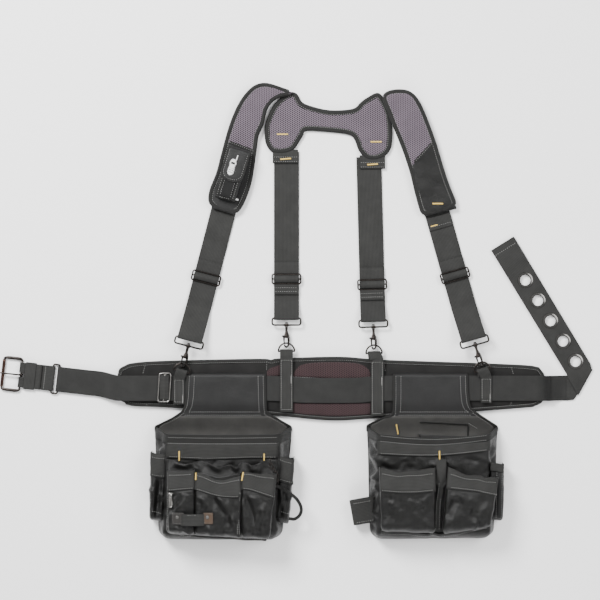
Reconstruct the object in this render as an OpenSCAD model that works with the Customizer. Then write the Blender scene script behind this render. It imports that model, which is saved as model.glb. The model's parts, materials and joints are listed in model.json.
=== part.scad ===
/* [Webbing] */
// Width of the belt and suspender webbing
web_w = 50; // [49:0.5:50]
// Thickness of one layer of webbing
web_t = 2.2; // [1.8:0.1:2.2]

/* [Belt] */
// Thickness of the padded lumbar belt
pad_t = 12; // [10:0.5:12]
// Height of the belt webbing above the floor where it crosses the pad
web_z = 14; // [14:0.5:14.5]
// Y of the belt's centre line
belt_y = -154; // [-156:1:-153]

/* [Pouches] */
// Thickness of the nylon walls
wall = 2.4; // [2:0.1:2.6]
// Height of the main pockets above the floor
pocket_h = 50; // [46:1:52]
// How far the outer pockets stand out from the main pocket
outer_h = 22; // [18:1:22]

/* [Suspenders] */
// Thickness of a shoulder pad
shoulder_t = 9; // [8:0.5:9]
// Thickness of the yoke at the back
yoke_t = 8; // [7:0.5:8]

/* [Hardware] */
// Radius of the wire in rings, loops and hooks
wire_r = 1.7; // [1.5:0.1:1.8]
// Radius of a grommet's hole
grommet_r = 10.5; // [9:0.5:11]

/* [Hidden] */
$fn = 48;
web_gap = 0.3;

// ---- suspender straps: [fold x, fold y, fold z, tilt, length, distance to the slider] ----
// The fold is where the strap goes round its end loop, and tilt turns the strap about Z.
front_left = [-211, -56, 22, -14.5, 272, 126];
back_left = [-19, -14, 11, 0, 328, 78];
back_right = [154, -18, 11, 1.5, 319, 71];
front_right = [353, -54, 22, 15.8, 272, 130];
LOOP_LENGTH = 14;
// Distance from a strap's fold to the D-ring's wire, and on to the D-ring's straight bar
RING_TOP = 50;
RING_BAR = 66;
HOOK_ROLL = 50;

// ---- small helpers ----
function unit(v) = v / norm(v);
function left_of(v) = [-v[1], v[0]];
// The direction across a path of points at point i, long enough to keep the thickness at a bend
function across(p, i) =
    let (a = i > 0 ? unit(p[i] - p[i - 1]) : unit(p[1] - p[0]),
         b = i < len(p) - 1 ? unit(p[i + 1] - p[i]) : a,
         n = unit(left_of(a) + left_of(b)))
    n / (n * left_of(a));
// The outline of a band of thickness t whose middle follows the points p
function band(p, t) = concat(
    [for (i = [0 : len(p) - 1]) p[i] + across(p, i) * t / 2],
    [for (i = [len(p) - 1 : -1 : 0]) p[i] - across(p, i) * t / 2]);

// A profile drawn in Y and Z, extruded along X and centred on x
module along_x(width, x = 0) {
    translate([x - width / 2, 0, 0]) rotate([90, 0, 90]) linear_extrude(width) children();
}
// A profile drawn in X and Z, extruded along Y and centred on y
module along_y(width, y = 0) {
    translate([0, y + width / 2, 0]) rotate([90, 0, 0]) linear_extrude(width) children();
}
module block(low, high) {
    translate(low) cube(high - low);
}
// A round bar between two points
module bar(a, b, r) {
    d = b - a;
    translate(a)
        rotate([0, acos(d[2] / norm(d)), atan2(d[1], d[0])])
            cylinder(h = norm(d), r = r);
}
// A rectangular wire ring, w wide along X and l long from y = 0 to y = -l
module wire_ring(w, l, r) {
    for (y = [0, -l]) bar([-w / 2, y, 0], [w / 2, y, 0], r);
    for (x = [-1, 1]) bar([x * w / 2, r + 0.2, 0], [x * w / 2, -l - r - 0.2, 0], r + 0.2);
}
module at_strap(s) {
    translate([s[0], s[1], s[2]]) rotate([0, 0, s[3]]) children();
}

// ---- belt ----
PAD_OUTLINE = [[-355, -123], [-342, -110], [-322, -104], [-260, -100], [-78, -96], [-50, -98],
    [-30, -95], [88, -92], [174, -98], [376, -105], [472, -110], [488, -117], [495, -126],
    [495, -175], [477, -189], [461, -192], [368, -199], [164, -213], [84, -218], [28, -215],
    [-42, -208], [-235, -193], [-327, -189], [-342, -182], [-352, -172]];
// The belt pad's underside rests on the floor
module belt_pad() color("#2b292b") {
    linear_extrude(pad_t) polygon(PAD_OUTLINE);
}
// The webbing runs over the pad and comes down to the floor past both ends
module belt_webbing() color("#3c3c3a") {
    lie_z = web_t / 2 + 0.1;
    over_z = web_z + web_t / 2;
    along_y(web_w, belt_y) polygon(band([[-383, lie_z], [-358, over_z], [504, over_z],
        [529, lie_z], [538, lie_z]], web_t));
}
TAIL_START = 538.2;
TAIL_FOLD = [[563, -167], [592, -116]];
TAIL_END = [[390, 121], [435, 149]];
// The belt's free end, folded over on itself at a slant, with a row of holes
module belt_tail() color("#3c3c3a") {
    lie = 0.1;
    back_z = lie + web_t + web_gap;
    translate([0, 0, lie]) linear_extrude(web_t)
        polygon([[TAIL_START, belt_y + 25], [584.6, belt_y + 25], TAIL_FOLD[0],
            [TAIL_START, belt_y - 25]]);
    difference() {
        translate([0, 0, back_z]) linear_extrude(web_t) tail_outline();
        for (i = [0 : 4]) translate([grommet(i)[0], grommet(i)[1], 0]) cylinder(h = 20, r = 12.2);
    }
    // the fold itself joins the two layers
    translate([0, 0, lie + web_t]) linear_extrude(web_gap)
        polygon([TAIL_FOLD[0], [584.6, belt_y + 25], [581.6, belt_y + 25], [560.5, -164]]);
}
module tail_outline() {
    polygon([TAIL_FOLD[0], [540, -125], TAIL_END[0], TAIL_END[1], [589, -105], TAIL_FOLD[1]]);
}
function grommet(i) = [458, 61.6] + i * [25.05, -40.6];
module grommets() color("silver") {
    bottom = 1.5;
    for (i = [0 : 4]) translate([grommet(i)[0], grommet(i)[1], bottom])
        rotate_extrude() polygon([[grommet_r, 0], [15.5, 0], [15.5, 1], [12, 1], [12, 3.6],
            [15.5, 3.6], [15.2, 4.3], [12.5, 4.9], [grommet_r, 4.9]]);
}

// ---- buckle end, on a line that is turned a little from the belt's own ----
// Distances along the line from the place where the strap leaves the pad
PAD_END = [-354, -150, 0];
LINE_TILT = -6.5;
RING_BAR_1 = -121;
RING_BAR_2 = -134;
BUCKLE_BAR = -197;
ROLLER_BAR = -233;
BAR_Z = 4.4;
FOLD_R = 4.2;
FOLD_HOLE_R = 2.1;
strap_half_t = web_t + 0.2;
module on_line() {
    translate(PAD_END) rotate([0, 0, LINE_TILT]) children();
}
// A doubled strap lying flat from x0 to x1, with a fold round a bar at each place in folds
module doubled_strap(x0, x1, folds) {
    difference() {
        along_y(web_w) union() {
            translate([x0, BAR_Z - strap_half_t]) square([x1 - x0, 2 * strap_half_t]);
            for (x = folds) translate([x, BAR_Z]) circle(r = FOLD_R);
        }
        for (x = folds) bar([x, -40, BAR_Z], [x, 40, BAR_Z], FOLD_HOLE_R);
    }
}
module left_strap() color("#3c3c3a") on_line() doubled_strap(RING_BAR_1, -34, [RING_BAR_1]);
module joining_ring() color("#4a4543") on_line() translate([RING_BAR_1, 0, BAR_Z])
    rotate([0, 0, -90]) wire_ring(58, RING_BAR_1 - RING_BAR_2, wire_r);
// The strap between the ring and the buckle has a slot in its end for the prong
module buckle_strap() color("#3c3c3a") on_line() difference() {
    doubled_strap(BUCKLE_BAR, RING_BAR_2, [BUCKLE_BAR, RING_BAR_2]);
    block([BUCKLE_BAR - 6, -4, -1], [BUCKLE_BAR + 12, 4, 20]);
}
module buckle_frame() color("#3a3634") on_line() {
    for (x = [BUCKLE_BAR, ROLLER_BAR]) bar([x, -30, BAR_Z], [x, 30, BAR_Z], wire_r);
    for (y = [-34.5, 28.5]) block([ROLLER_BAR - 2.4, y, 2], [BUCKLE_BAR + 2.4, y + 6, 6.8]);
}
module buckle_roller() color("#6b4a3f") on_line() difference() {
    bar([ROLLER_BAR, -27.5, BAR_Z], [ROLLER_BAR, 27.5, BAR_Z], 3.3);
    bar([ROLLER_BAR, -30, BAR_Z], [ROLLER_BAR, 30, BAR_Z], wire_r + 0.08);
}
// The prong turns on the buckle's bar and lies over the roller
module buckle_prong() color("#4a4543") on_line() {
    difference() {
        along_y(4.6) union() {
            translate([BUCKLE_BAR, BAR_Z]) circle(r = 3.9);
            polygon(band([[BUCKLE_BAR - 0.5, 6.6], [-215, 9.9], [-240, 9.9]], 3));
        }
        bar([BUCKLE_BAR, -10, BAR_Z], [BUCKLE_BAR, 10, BAR_Z], wire_r + 0.08);
    }
}
KEEPER = [-189, -168];
module strap_keeper() color("#353533") on_line() difference() {
    block([KEEPER[0], -27.2, 0.2], [KEEPER[1], 27.2, 8.6]);
    block([KEEPER[0] - 1, -25.5, 1.6], [KEEPER[1] + 1, 25.5, 7.2]);
}
// The tri-glide slider holds the belt's length, over the webbing near the pad's left end
SLIDER_X = -262;
module belt_slider() color("silver") translate([SLIDER_X, belt_y + 2, web_z + web_t + 0.4])
    linear_extrude(2.4) difference() {
        rounded(26, 60, 6);
        for (x = [-6.2, 6.2]) translate([x, 0]) rounded(8, 52.5, 3);
    }
module rounded(w, l, r) {
    union() {
        square([w - 2 * r, l], center = true);
        square([w, l - 2 * r], center = true);
        for (x = [-1, 1], y = [-1, 1]) translate([x * (w / 2 - r), y * (l / 2 - r)]) circle(r = r);
    }
}

// ---- suspender straps and what hangs from them ----
floor_z = strap_half_t + 0.2;
// The doubled strap slopes from its fold down to the floor and runs on along it
module strap(s) color("#3c3c3a") at_strap(s) {
    drop = s[2] - floor_z;
    difference() {
        along_x(web_w) union() {
            circle(r = FOLD_R);
            polygon(band([[0, 0], [8, 0], [8 + 2.9 * drop, -drop], [s[4], -drop]], 2 * strap_half_t));
        }
        bar([-40, 0, 0], [40, 0, 0], FOLD_HOLE_R);
    }
}
module strap_slider(s) color("#4a4543") at_strap(s)
    translate([0, s[5], 2 * strap_half_t + 0.6 - s[2]]) linear_extrude(2.6) difference() {
        rounded(61, 23, 5);
        for (y = [-5.2, 5.2]) translate([0, y]) rounded(53.5, 6.6, 2.4);
    }
// The end loop is a wire rectangle with a boss on its lower bar, in which the hook turns
module end_loop(s) color("#4a4543") at_strap(s) difference() {
    union() {
        wire_ring(57, LOOP_LENGTH, wire_r);
        bar([0, -LOOP_LENGTH + 3, 0], [0, -LOOP_LENGTH - 3, 0], 4.4);
    }
    bar([0, 0, 0], [0, -30, 0], 1.88);
}
GATE_PIN = [-8.2, -37];
// The hook lies in a plane turned by HOOK_ROLL about the strap's line
module hook(s) color("#3f3b39") at_strap(s) rotate([0, HOOK_ROLL, 0]) {
    translate([0, -LOOP_LENGTH, 0]) rotate([-90, 0, 0]) rotate_extrude()
        polygon([[0, -5.5], [4.2, -5.5], [4.2, -3.3], [1.8, -3.3], [1.8, 3.2], [3.2, 3.2], [3.2, 4.6],
            [2, 5.4], [0, 5.4]]);
    difference() {
        translate([0, 0, -3]) linear_extrude(6) union() {
            polygon([[-3.2, -18.5], [3.2, -18.5], [8, -33], [8.3, -39], [4, -40.6], [-5, -40.6],
                [-9.4, -40.6], [-12, -36.5], [-9, -32]]);
        }
        translate([GATE_PIN[0], GATE_PIN[1], -1.7]) linear_extrude(3.4) union() {
            circle(r = 3.5);
            polygon([[-6, 0], [-6, -8], [6.5, -8], [3.2, 0]]);
        }
    }
    translate([GATE_PIN[0], GATE_PIN[1], -2.2]) cylinder(h = 4.4, r = 1.2);
    bar([6.5, -37, 0], [6.5, -51.3, 0], 1.95);
    translate([0, -51, 0]) rotate([0, 0, -165]) rotate_extrude(angle = 165)
        translate([6.5, 0]) circle(r = 1.8);
}
module gate(s) color("#4a4543") at_strap(s) rotate([0, HOOK_ROLL, 0]) difference() {
    union() {
        translate([GATE_PIN[0], GATE_PIN[1], -1.4]) cylinder(h = 2.8, r = 2.8);
        bar([GATE_PIN[0], GATE_PIN[1], 0], [-6.9, -50.3, 0], 1.35);
    }
    translate([GATE_PIN[0], GATE_PIN[1], -3]) cylinder(h = 6, r = 1.28);
}
RING_R = RING_BAR - RING_TOP;
module d_ring(s) color("#4a4543") at_strap(s) translate([0, -RING_BAR, 0]) {
    bar([-RING_R, 0, 0], [RING_R, 0, 0], wire_r + 0.1);
    rotate_extrude(angle = 180) translate([RING_R, 0]) circle(r = wire_r);
    for (x = [-1, 1]) translate([x * RING_R, 0, 0]) sphere(r = wire_r + 0.3);
}
// Each tab folds round a D-ring's bar and is sewn down over the belt webbing
// [strap, tab's x, tab's width, y where it crosses on to the pad, y where it ends, shift of its fold]
TABS = [[front_left, -233, 22, -126, -186, -4], [back_left, -19, 26, -100, -200, 0],
    [back_right, 162, 25, -106, -208, 2], [front_right, 379, 22, -124, -182, 5]];
tab_z = web_z + web_t + 0.3;
module ring_tabs() color("#333331") for (t = TABS) ring_tab(t[0], t[1], t[2], t[3], t[4], t[5]);
module ring_tab(s, x, w, y_top, y_end, shift) {
    difference() {
        union() {
            at_strap(s) along_x(min(w, 2 * (RING_R - 2.4 - abs(shift))), shift) union() {
                translate([-RING_BAR, 0]) circle(r = FOLD_R);
                polygon([[-RING_BAR, FOLD_R], [-RING_BAR, 0.4], [-RING_BAR - 8, 0.4],
                    [-RING_BAR - 8, FOLD_R]]);
            }
            along_x(w, x) polygon(band([[y_top + 4, s[2] + 2.4], [y_top - 8, tab_z + 1],
                [y_end, tab_z + 1]], 2));
        }
        at_strap(s) bar([-40, -RING_BAR, 0], [40, -RING_BAR, 0], FOLD_HOLE_R);
    }
}
module front_left_d_ring() d_ring(front_left);
module back_left_d_ring() d_ring(back_left);
module back_right_d_ring() d_ring(back_right);
module front_right_d_ring() d_ring(front_right);
module front_left_strap() strap(front_left);
module back_left_strap() strap(back_left);
module back_right_strap() strap(back_right);
module front_right_strap() strap(front_right);
module front_left_slider() strap_slider(front_left);
module back_left_slider() strap_slider(back_left);
module back_right_slider() strap_slider(back_right);
module front_right_slider() strap_slider(front_right);
module front_left_loop() end_loop(front_left);
module back_left_loop() end_loop(back_left);
module back_right_loop() end_loop(back_right);
module front_right_loop() end_loop(front_right);
module front_left_hook() hook(front_left);
module back_left_hook() hook(back_left);
module back_right_hook() hook(back_right);
module front_right_hook() hook(front_right);
module front_left_gate() gate(front_left);
module back_left_gate() gate(back_left);
module back_right_gate() gate(back_right);
module front_right_gate() gate(front_right);

// ---- yoke and shoulder pads ----
YOKE_OUTLINE = [[-18, 434], [0, 434], [11, 417], [31, 408], [69, 400], [114, 403], [130, 416],
    [144, 426], [166, 434], [184, 405], [190, 378], [191, 339], [187, 322], [178, 311], [160, 303],
    [142, 305], [127, 320], [117, 344], [102, 354], [44, 360], [18, 360], [14, 352], [1, 331],
    [-6, 323], [-20, 317], [-36, 316], [-48, 319], [-56, 328], [-61, 344], [-60, 374], [-44, 410]];
module yoke() color("#7d747c") linear_extrude(yoke_t) polygon(YOKE_OUTLINE);

// Stations along a shoulder pad: [outer x, outer y, inner x, inner y, height of the underside]
over_yoke = yoke_t + 0.4;
over_strap = 2 * strap_half_t + 0.6;
LEFT_PAD = [[-8, 437, -14, 429, over_yoke], [-30, 445, -30, 430, over_yoke],
    [-54, 453, -44, 424, over_yoke], [-82, 449, -56, 408, over_yoke],
    [-102, 429, -62, 392, over_yoke], [-118, 404, -66, 370, over_yoke],
    [-132, 366, -76, 350, 6.5], [-146, 316, -80, 322, over_strap],
    [-158, 274, -88, 268, over_strap], [-170, 240, -98, 234, over_strap],
    [-173, 218, -112, 204, over_strap], [-169, 204, -122, 190, over_strap]];
RIGHT_PAD = [[176, 435, 172, 424, over_yoke], [206, 441, 182, 400, over_yoke],
    [222, 440, 187, 388, over_yoke], [248, 412, 192, 376, over_yoke],
    [264, 372, 203, 346, over_yoke], [280, 330, 218, 310, 6.5],
    [293, 286, 230, 272, over_strap], [306, 248, 238, 238, over_strap],
    [320, 216, 249, 202, over_strap], [324, 203, 254, 186, over_strap]];
// A flat band of constant thickness through the stations
module pad_band(stations, t, flip) {
    n = len(stations);
    points = [for (s = stations) each
        [[s[0], s[1], s[4]], [s[2], s[3], s[4]], [s[2], s[3], s[4] + t], [s[0], s[1], s[4] + t]]];
    sides = [for (i = [0 : n - 2], k = [0 : 3])
        let (a = 4 * i + k, b = 4 * i + (k + 1) % 4)
        each [[a, a + 4, b + 4], [a, b + 4, b]]];
    ends = [[0, 1, 2], [0, 2, 3], [4 * n - 4, 4 * n - 2, 4 * n - 3], [4 * n - 4, 4 * n - 1, 4 * n - 2]];
    faces = concat(sides, ends);
    polyhedron(points, flip ? [for (f = faces) [f[0], f[2], f[1]]] : faces);
}
module left_shoulder_pad() color("#7d747c") pad_band(LEFT_PAD, shoulder_t, true);
module right_shoulder_pad() color("#7d747c") pad_band(RIGHT_PAD, shoulder_t, false);

// The phone pouch lies along the left shoulder pad, open at its upper end under the flap
PHONE = [-127, 270, 0];
PHONE_TILT = -17;
PHONE_W = 46;
PHONE_T = 19;
PHONE_L = 104;
phone_z = over_strap + shoulder_t + 0.3;
module on_phone() {
    translate([PHONE[0], PHONE[1], phone_z]) rotate([0, 0, PHONE_TILT]) children();
}
module phone_pouch() color("#1b1b1c") on_phone()
    pocket([-PHONE_W / 2, PHONE_W / 2], [-PHONE_L / 2, PHONE_L / 2], [0, PHONE_T], 4, 1.8);
module phone_flap() color("#232324") on_phone() {
    end = PHONE_L / 2 + 0.4;
    // a rolled hem at the back edge is what the flap turns about
    bar([-PHONE_W / 2 + 1, end + 0.9, 1.3], [PHONE_W / 2 - 1, end + 0.9, 1.3], 0.9);
    along_x(PHONE_W - 2) polygon([[end, 2], [end + 1.8, 2], [end + 1.8, PHONE_T + 2.2],
        [end - 56, PHONE_T + 2.2], [end - 56, PHONE_T + 0.4], [end, PHONE_T + 0.4]]);
}

// ---- pouches ----
// A pocket is a bag of even wall thickness, open at its upper end, towards +Y
module pocket(x, y, z, r, t) {
    w = x[1] - x[0];
    h = z[1] - z[0];
    difference() {
        along_y(y[1] - y[0], (y[0] + y[1]) / 2)
            translate([(x[0] + x[1]) / 2, (z[0] + z[1]) / 2]) rounded(w, h, r);
        along_y(y[1] - y[0], (y[0] + y[1]) / 2 + t)
            translate([(x[0] + x[1]) / 2, (z[0] + z[1]) / 2])
                rounded(w - 2 * t, h - 2 * t, r - t / 2);
    }
}
// The panel loops round the belt webbing, comes down past the pad and lies along the floor
module pouch_panel(tunnel, outline) {
    tunnel_low = pad_t + 0.3;
    tunnel_high = web_z + web_t + wall + 0.3;
    top = belt_y + web_w / 2;
    lie = wall / 2;
    difference() {
        union() {
            block([tunnel[0], belt_y - 33, tunnel_low], [tunnel[1], top + 6.5, tunnel_high]);
            intersection() {
                linear_extrude(40) polygon(outline);
                along_x(700) polygon(band([[belt_y - 28, tunnel_low + lie], [-214, tunnel_low + lie],
                    [-240, lie], [-460, lie]], wall));
            }
        }
        block([tunnel[0] - 1, belt_y - 29, tunnel_low + 1.4],
            [tunnel[1] + 1, top + 4, web_z + web_t + 0.3]);
    }
}
back_top = wall + 0.1;
left_outer_z = pocket_h + 0.2;
left_lower_z = left_outer_z + outer_h + 0.2;
LOWER_H = 18;
LEFT_TUNNEL = [-220, -62];
LEFT_OUTLINE = [[-220, -120], [-62, -120], [-62, -200], [-47, -208], [-16, -233], [-13, -244],
    [-15, -272], [-38, -420], [-51, -452], [-68, -457], [-200, -454], [-256, -449], [-273, -424],
    [-277, -264], [-283, -244], [-281, -231], [-225, -196], [-220, -190]];
module left_pouch_panel() color("#1e1e1f") pouch_panel(LEFT_TUNNEL, LEFT_OUTLINE);
module left_main_pocket() color("#1b1b1c")
    pocket([-256, -30], [-450, -242], [back_top, pocket_h], 12, wall);
module left_outer_pocket() color("#1b1b1c")
    pocket([-254, -34], [-448, -292], [left_outer_z, left_outer_z + outer_h], 9, wall);
module left_lower_pockets() color("#1b1b1c") for (x = [[-252, -198.5], [-197.5, -107], [-106, -38]])
    pocket(x, [-446, -314], [left_lower_z, left_lower_z + LOWER_H], 7, 1.8);
module left_side_pockets() color("#1b1b1c") {
    pocket([-288, -257], [-418, -280], [back_top, 45], 8, 1.8);
    pocket([-29, -3], [-418, -284], [back_top, 45], 8, 1.8);
}
patch_z = left_lower_z + LOWER_H + 0.1;
// Two leather patches and the webbing loop between them, for a tape measure's clip
module tape_patch() color("#2a2523") {
    block([-243, -412, patch_z], [-218, -393, patch_z + 2]);
    block([-182, -412, patch_z], [-165, -393, patch_z + 2]);
    along_y(22, -408) polygon([[-218, patch_z], [-216, patch_z + 8], [-184, patch_z + 8],
        [-182, patch_z], [-184.2, patch_z], [-186, patch_z + 6], [-214, patch_z + 6],
        [-215.8, patch_z]]);
}
CLIP_TOP = [-249, -356];
module tape_clip() color("silver") translate([CLIP_TOP[0], CLIP_TOP[1], patch_z + 2]) {
    bar([-1, 0, 0], [9, 0, 0], 1.5);
    block([0, -26, -1.2], [8, 0, 0.4]);
}
module snap_thong() color("#2b2b2a") {
    translate([0, 0, 45.6]) linear_extrude(2.2) polygon(band([[-27, -343], [-18, -352],
        [2, -371], [11, -390], [8, -407], [-9, -411]], 8));
}
RIGHT_TUNNEL = [192, 345];
RIGHT_OUTLINE = [[192, -120], [345, -120], [345, -196], [359, -206], [408, -235], [406, -252],
    [404, -420], [381, -444], [376, -448], [320, -453], [274, -449], [176, -456], [161, -452],
    [146, -425], [141, -246], [141, -236], [166, -215], [192, -196]];
module right_pouch_panel() color("#1e1e1f") pouch_panel(RIGHT_TUNNEL, RIGHT_OUTLINE);
module right_main_pocket() color("#1b1b1c")
    pocket([162, 382], [-446, -248], [back_top, pocket_h], 12, wall);
module right_inner_pocket() color("#1b1b1c")
    pocket([245, 343], [-330, -250], [back_top + wall + 0.2, back_top + wall + 12], 3, 1.5);
module right_lower_pockets() color("#1b1b1c") {
    pocket([164, 274], [-440, -308], [left_outer_z, left_outer_z + 28], 10, wall);
    pocket([299, 386], [-436, -314], [left_outer_z, left_outer_z + 26], 10, wall);
}
// The strip between the lower pockets carries a folded webbing loop that ends in a point
module right_centre_strip() color("#333331") {
    block([276, -432, left_outer_z], [297, -298, left_outer_z + 2.2]);
    translate([0, 0, left_outer_z + 2.2]) linear_extrude(4)
        polygon([[277, -300], [296, -300], [296, -342], [286.5, -354], [277, -342]]);
}
module right_side_pocket() color("#1b1b1c")
    pocket([383, 412], [-418, -300], [back_top, 42], 8, 1.8);
// A hammer's handle goes through the loop along Y
module hammer_loop() color("#333331") translate([157.5, -394, 14]) rotate([0, 0, 10])
    along_y(50) translate([-28, 0]) difference() {
        rounded(54, 23, 9);
        rounded(49, 18, 7);
    }
module rivets() color("silver") for (p = [[-232, -402.5], [-173, -402.5]])
    translate([p[0], p[1], patch_z + 2]) rotate_extrude() polygon([[0, 0], [4, 0], [3.4, 1.1], [0, 1.8]]);

belt_pad();
belt_webbing();
belt_tail();
grommets();
left_strap();
belt_slider();
joining_ring();
buckle_strap();
buckle_frame();
buckle_prong();
buckle_roller();
strap_keeper();
ring_tabs();
front_left_d_ring();
back_left_d_ring();
back_right_d_ring();
front_right_d_ring();
front_left_strap();
back_left_strap();
back_right_strap();
front_right_strap();
front_left_slider();
back_left_slider();
back_right_slider();
front_right_slider();
front_left_loop();
back_left_loop();
back_right_loop();
front_right_loop();
front_left_hook();
back_left_hook();
back_right_hook();
front_right_hook();
front_left_gate();
back_left_gate();
back_right_gate();
front_right_gate();
yoke();
left_shoulder_pad();
right_shoulder_pad();
phone_pouch();
phone_flap();
left_pouch_panel();
left_main_pocket();
left_outer_pocket();
left_lower_pockets();
left_side_pockets();
tape_patch();
tape_clip();
snap_thong();
right_pouch_panel();
right_main_pocket();
right_inner_pocket();
right_lower_pockets();
right_centre_strip();
right_side_pocket();
hammer_loop();
rivets();
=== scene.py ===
"""Looks for the tool belt: webbing, padded cloth, nylon pouches, stitching and metal on the frame."""

import json
import math
import random

import bpy
import numpy as np
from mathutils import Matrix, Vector, noise
from mathutils.bvhtree import BVHTree


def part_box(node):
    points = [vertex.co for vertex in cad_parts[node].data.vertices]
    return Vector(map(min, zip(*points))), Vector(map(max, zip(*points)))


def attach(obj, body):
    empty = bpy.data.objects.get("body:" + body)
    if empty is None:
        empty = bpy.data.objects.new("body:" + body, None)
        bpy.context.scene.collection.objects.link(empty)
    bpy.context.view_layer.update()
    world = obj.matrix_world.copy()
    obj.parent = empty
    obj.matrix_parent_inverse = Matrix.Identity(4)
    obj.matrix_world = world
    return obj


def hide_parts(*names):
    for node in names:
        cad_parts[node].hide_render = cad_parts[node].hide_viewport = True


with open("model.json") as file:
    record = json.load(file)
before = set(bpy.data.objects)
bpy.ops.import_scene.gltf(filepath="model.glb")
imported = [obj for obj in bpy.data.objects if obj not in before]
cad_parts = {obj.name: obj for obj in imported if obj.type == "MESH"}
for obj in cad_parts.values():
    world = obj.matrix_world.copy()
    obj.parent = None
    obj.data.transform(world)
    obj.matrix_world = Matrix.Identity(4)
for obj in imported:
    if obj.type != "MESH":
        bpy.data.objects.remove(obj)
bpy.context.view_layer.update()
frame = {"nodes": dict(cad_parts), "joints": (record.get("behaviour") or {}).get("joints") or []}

MM = 0.001
NODES = frame["nodes"]
CAMERA_PLACE = (0.008, 0.022, 4.0)
CAMERA_LENS = 120
WORLD_STRENGTH = 0.74
FLOOR_HALF, FLOOR_Z = 6000, -0.4


# ---- camera, light and floor ----
def add_camera():
    data = bpy.data.cameras.new("camera")
    data.lens = CAMERA_LENS
    data.sensor_width = 36
    camera = bpy.data.objects.new("camera", data)
    camera.location = CAMERA_PLACE
    bpy.context.scene.collection.objects.link(camera)
    bpy.context.scene.camera = camera


def add_light(name, place, size, power):
    data = bpy.data.lights.new(name, "AREA")
    data.shape = "DISK"
    data.size = size
    data.energy = power
    light = bpy.data.objects.new(name, data)
    light.location = place
    light.rotation_euler = (Vector((0, 0, 0)) - Vector(place)).to_track_quat("-Z", "Y").to_euler()
    bpy.context.scene.collection.objects.link(light)


def add_stage():
    world = bpy.data.worlds.new("studio")
    world.use_nodes = True
    background = world.node_tree.nodes["Background"]
    background.inputs["Color"].default_value = (1, 1, 1, 1)
    background.inputs["Strength"].default_value = WORLD_STRENGTH
    bpy.context.scene.world = world
    add_light("key", (-1.3, 1.6, 2.2), 1.2, 185)
    add_light("fill", (1.8, 0.6, 2.0), 1.6, 50)
    add_light("rim", (0.2, -2.4, 1.4), 1.2, 36)
    corners = [(x * FLOOR_HALF, y * FLOOR_HALF, FLOOR_Z) for x, y in ((-1, -1), (1, -1), (1, 1), (-1, 1))]
    mesh_object("floor", corners, [(0, 1, 2, 3)], floor_material(), smooth=False)


# ---- materials ----
class Look:
    """A node material with short calls for adding and joining nodes."""

    def __init__(self, name, colour, rough, metal=0.0, sheen=0.0, specular=0.5):
        self.material = bpy.data.materials.new(name)
        self.material.use_nodes = True
        self.tree = self.material.node_tree
        self.shader = self.tree.nodes["Principled BSDF"]
        self.set("Base Color", (*colour, 1))
        self.set("Roughness", rough)
        self.set("Metallic", metal)
        self.set("Sheen Weight", sheen)
        self.set("Sheen Roughness", 0.4)
        self.set("Specular IOR Level", specular)

    def set(self, socket, value):
        self.shader.inputs[socket].default_value = value

    def node(self, kind, **inputs):
        made = self.tree.nodes.new("ShaderNode" + kind)
        for key, value in inputs.items():
            if hasattr(made, key):
                setattr(made, key, value)
            else:
                self.feed(made.inputs[key.replace("_", " ")], value)
        return made

    def feed(self, socket, value):
        if isinstance(value, bpy.types.NodeSocket):
            self.tree.links.new(value, socket)
        else:
            socket.default_value = value

    def math(self, operation, a, b=0.0, c=0.0):
        made = self.tree.nodes.new("ShaderNodeMath")
        made.operation = operation
        for socket, value in zip(made.inputs, (a, b, c)):
            self.feed(socket, value)
        return made.outputs[0]

    def times(self, a, b):
        return self.math("MULTIPLY", a, b)

    def plus(self, a, b):
        return self.math("ADD", a, b)

    def place(self):
        """Object coordinates in metres, as separate X, Y and Z."""
        split = self.node("SeparateXYZ", Vector=self.node("TexCoord").outputs["Object"])
        return split.outputs

    def cloth_place(self):
        """How far across and along a strip a point is, in metres, from the strip's own map."""
        split = self.node("SeparateXYZ", Vector=self.node("UVMap", uv_map="cloth").outputs["UV"])
        return split.outputs

    def spotty(self, scale, detail=4.0, rough=0.6):
        made = self.node("TexNoise", Scale=scale, Detail=detail, Roughness=rough)
        self.feed(made.inputs["Vector"], self.node("TexCoord").outputs["Object"])
        return made.outputs["Fac"]

    def wave(self, where, pitch):
        """A sine of one coordinate with the given pitch in metres."""
        return self.math("SINE", self.times(where, 2 * math.pi / pitch))

    def blend_colours(self, factor, dark, light):
        ramp = self.node("ValToRGB")
        ramp.color_ramp.elements[0].color = (*dark, 1)
        ramp.color_ramp.elements[1].color = (*light, 1)
        self.feed(ramp.inputs[0], factor)
        return ramp.outputs["Color"]

    def colour(self, factor, dark, light):
        self.tree.links.new(self.blend_colours(factor, dark, light), self.shader.inputs["Base Color"])

    def roughness(self, factor, low, high):
        made = self.node("MapRange", To_Min=low, To_Max=high)
        self.feed(made.inputs["Value"], factor)
        self.tree.links.new(made.outputs["Result"], self.shader.inputs["Roughness"])

    def bump(self, height, depth, strength=1.0):
        made = self.node("Bump", Strength=strength, Distance=depth)
        self.feed(made.inputs["Height"], height)
        previous = self.shader.inputs["Normal"]
        if previous.links:
            self.tree.links.new(previous.links[0].from_socket, made.inputs["Normal"])
        self.tree.links.new(made.outputs["Normal"], previous)


def floor_material():
    look = Look("studio_floor", (0.93, 0.93, 0.93), 0.7, specular=0.1)
    look.colour(look.spotty(2.0), (0.97, 0.97, 0.97), (0.98, 0.98, 0.98))
    return look.material


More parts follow.
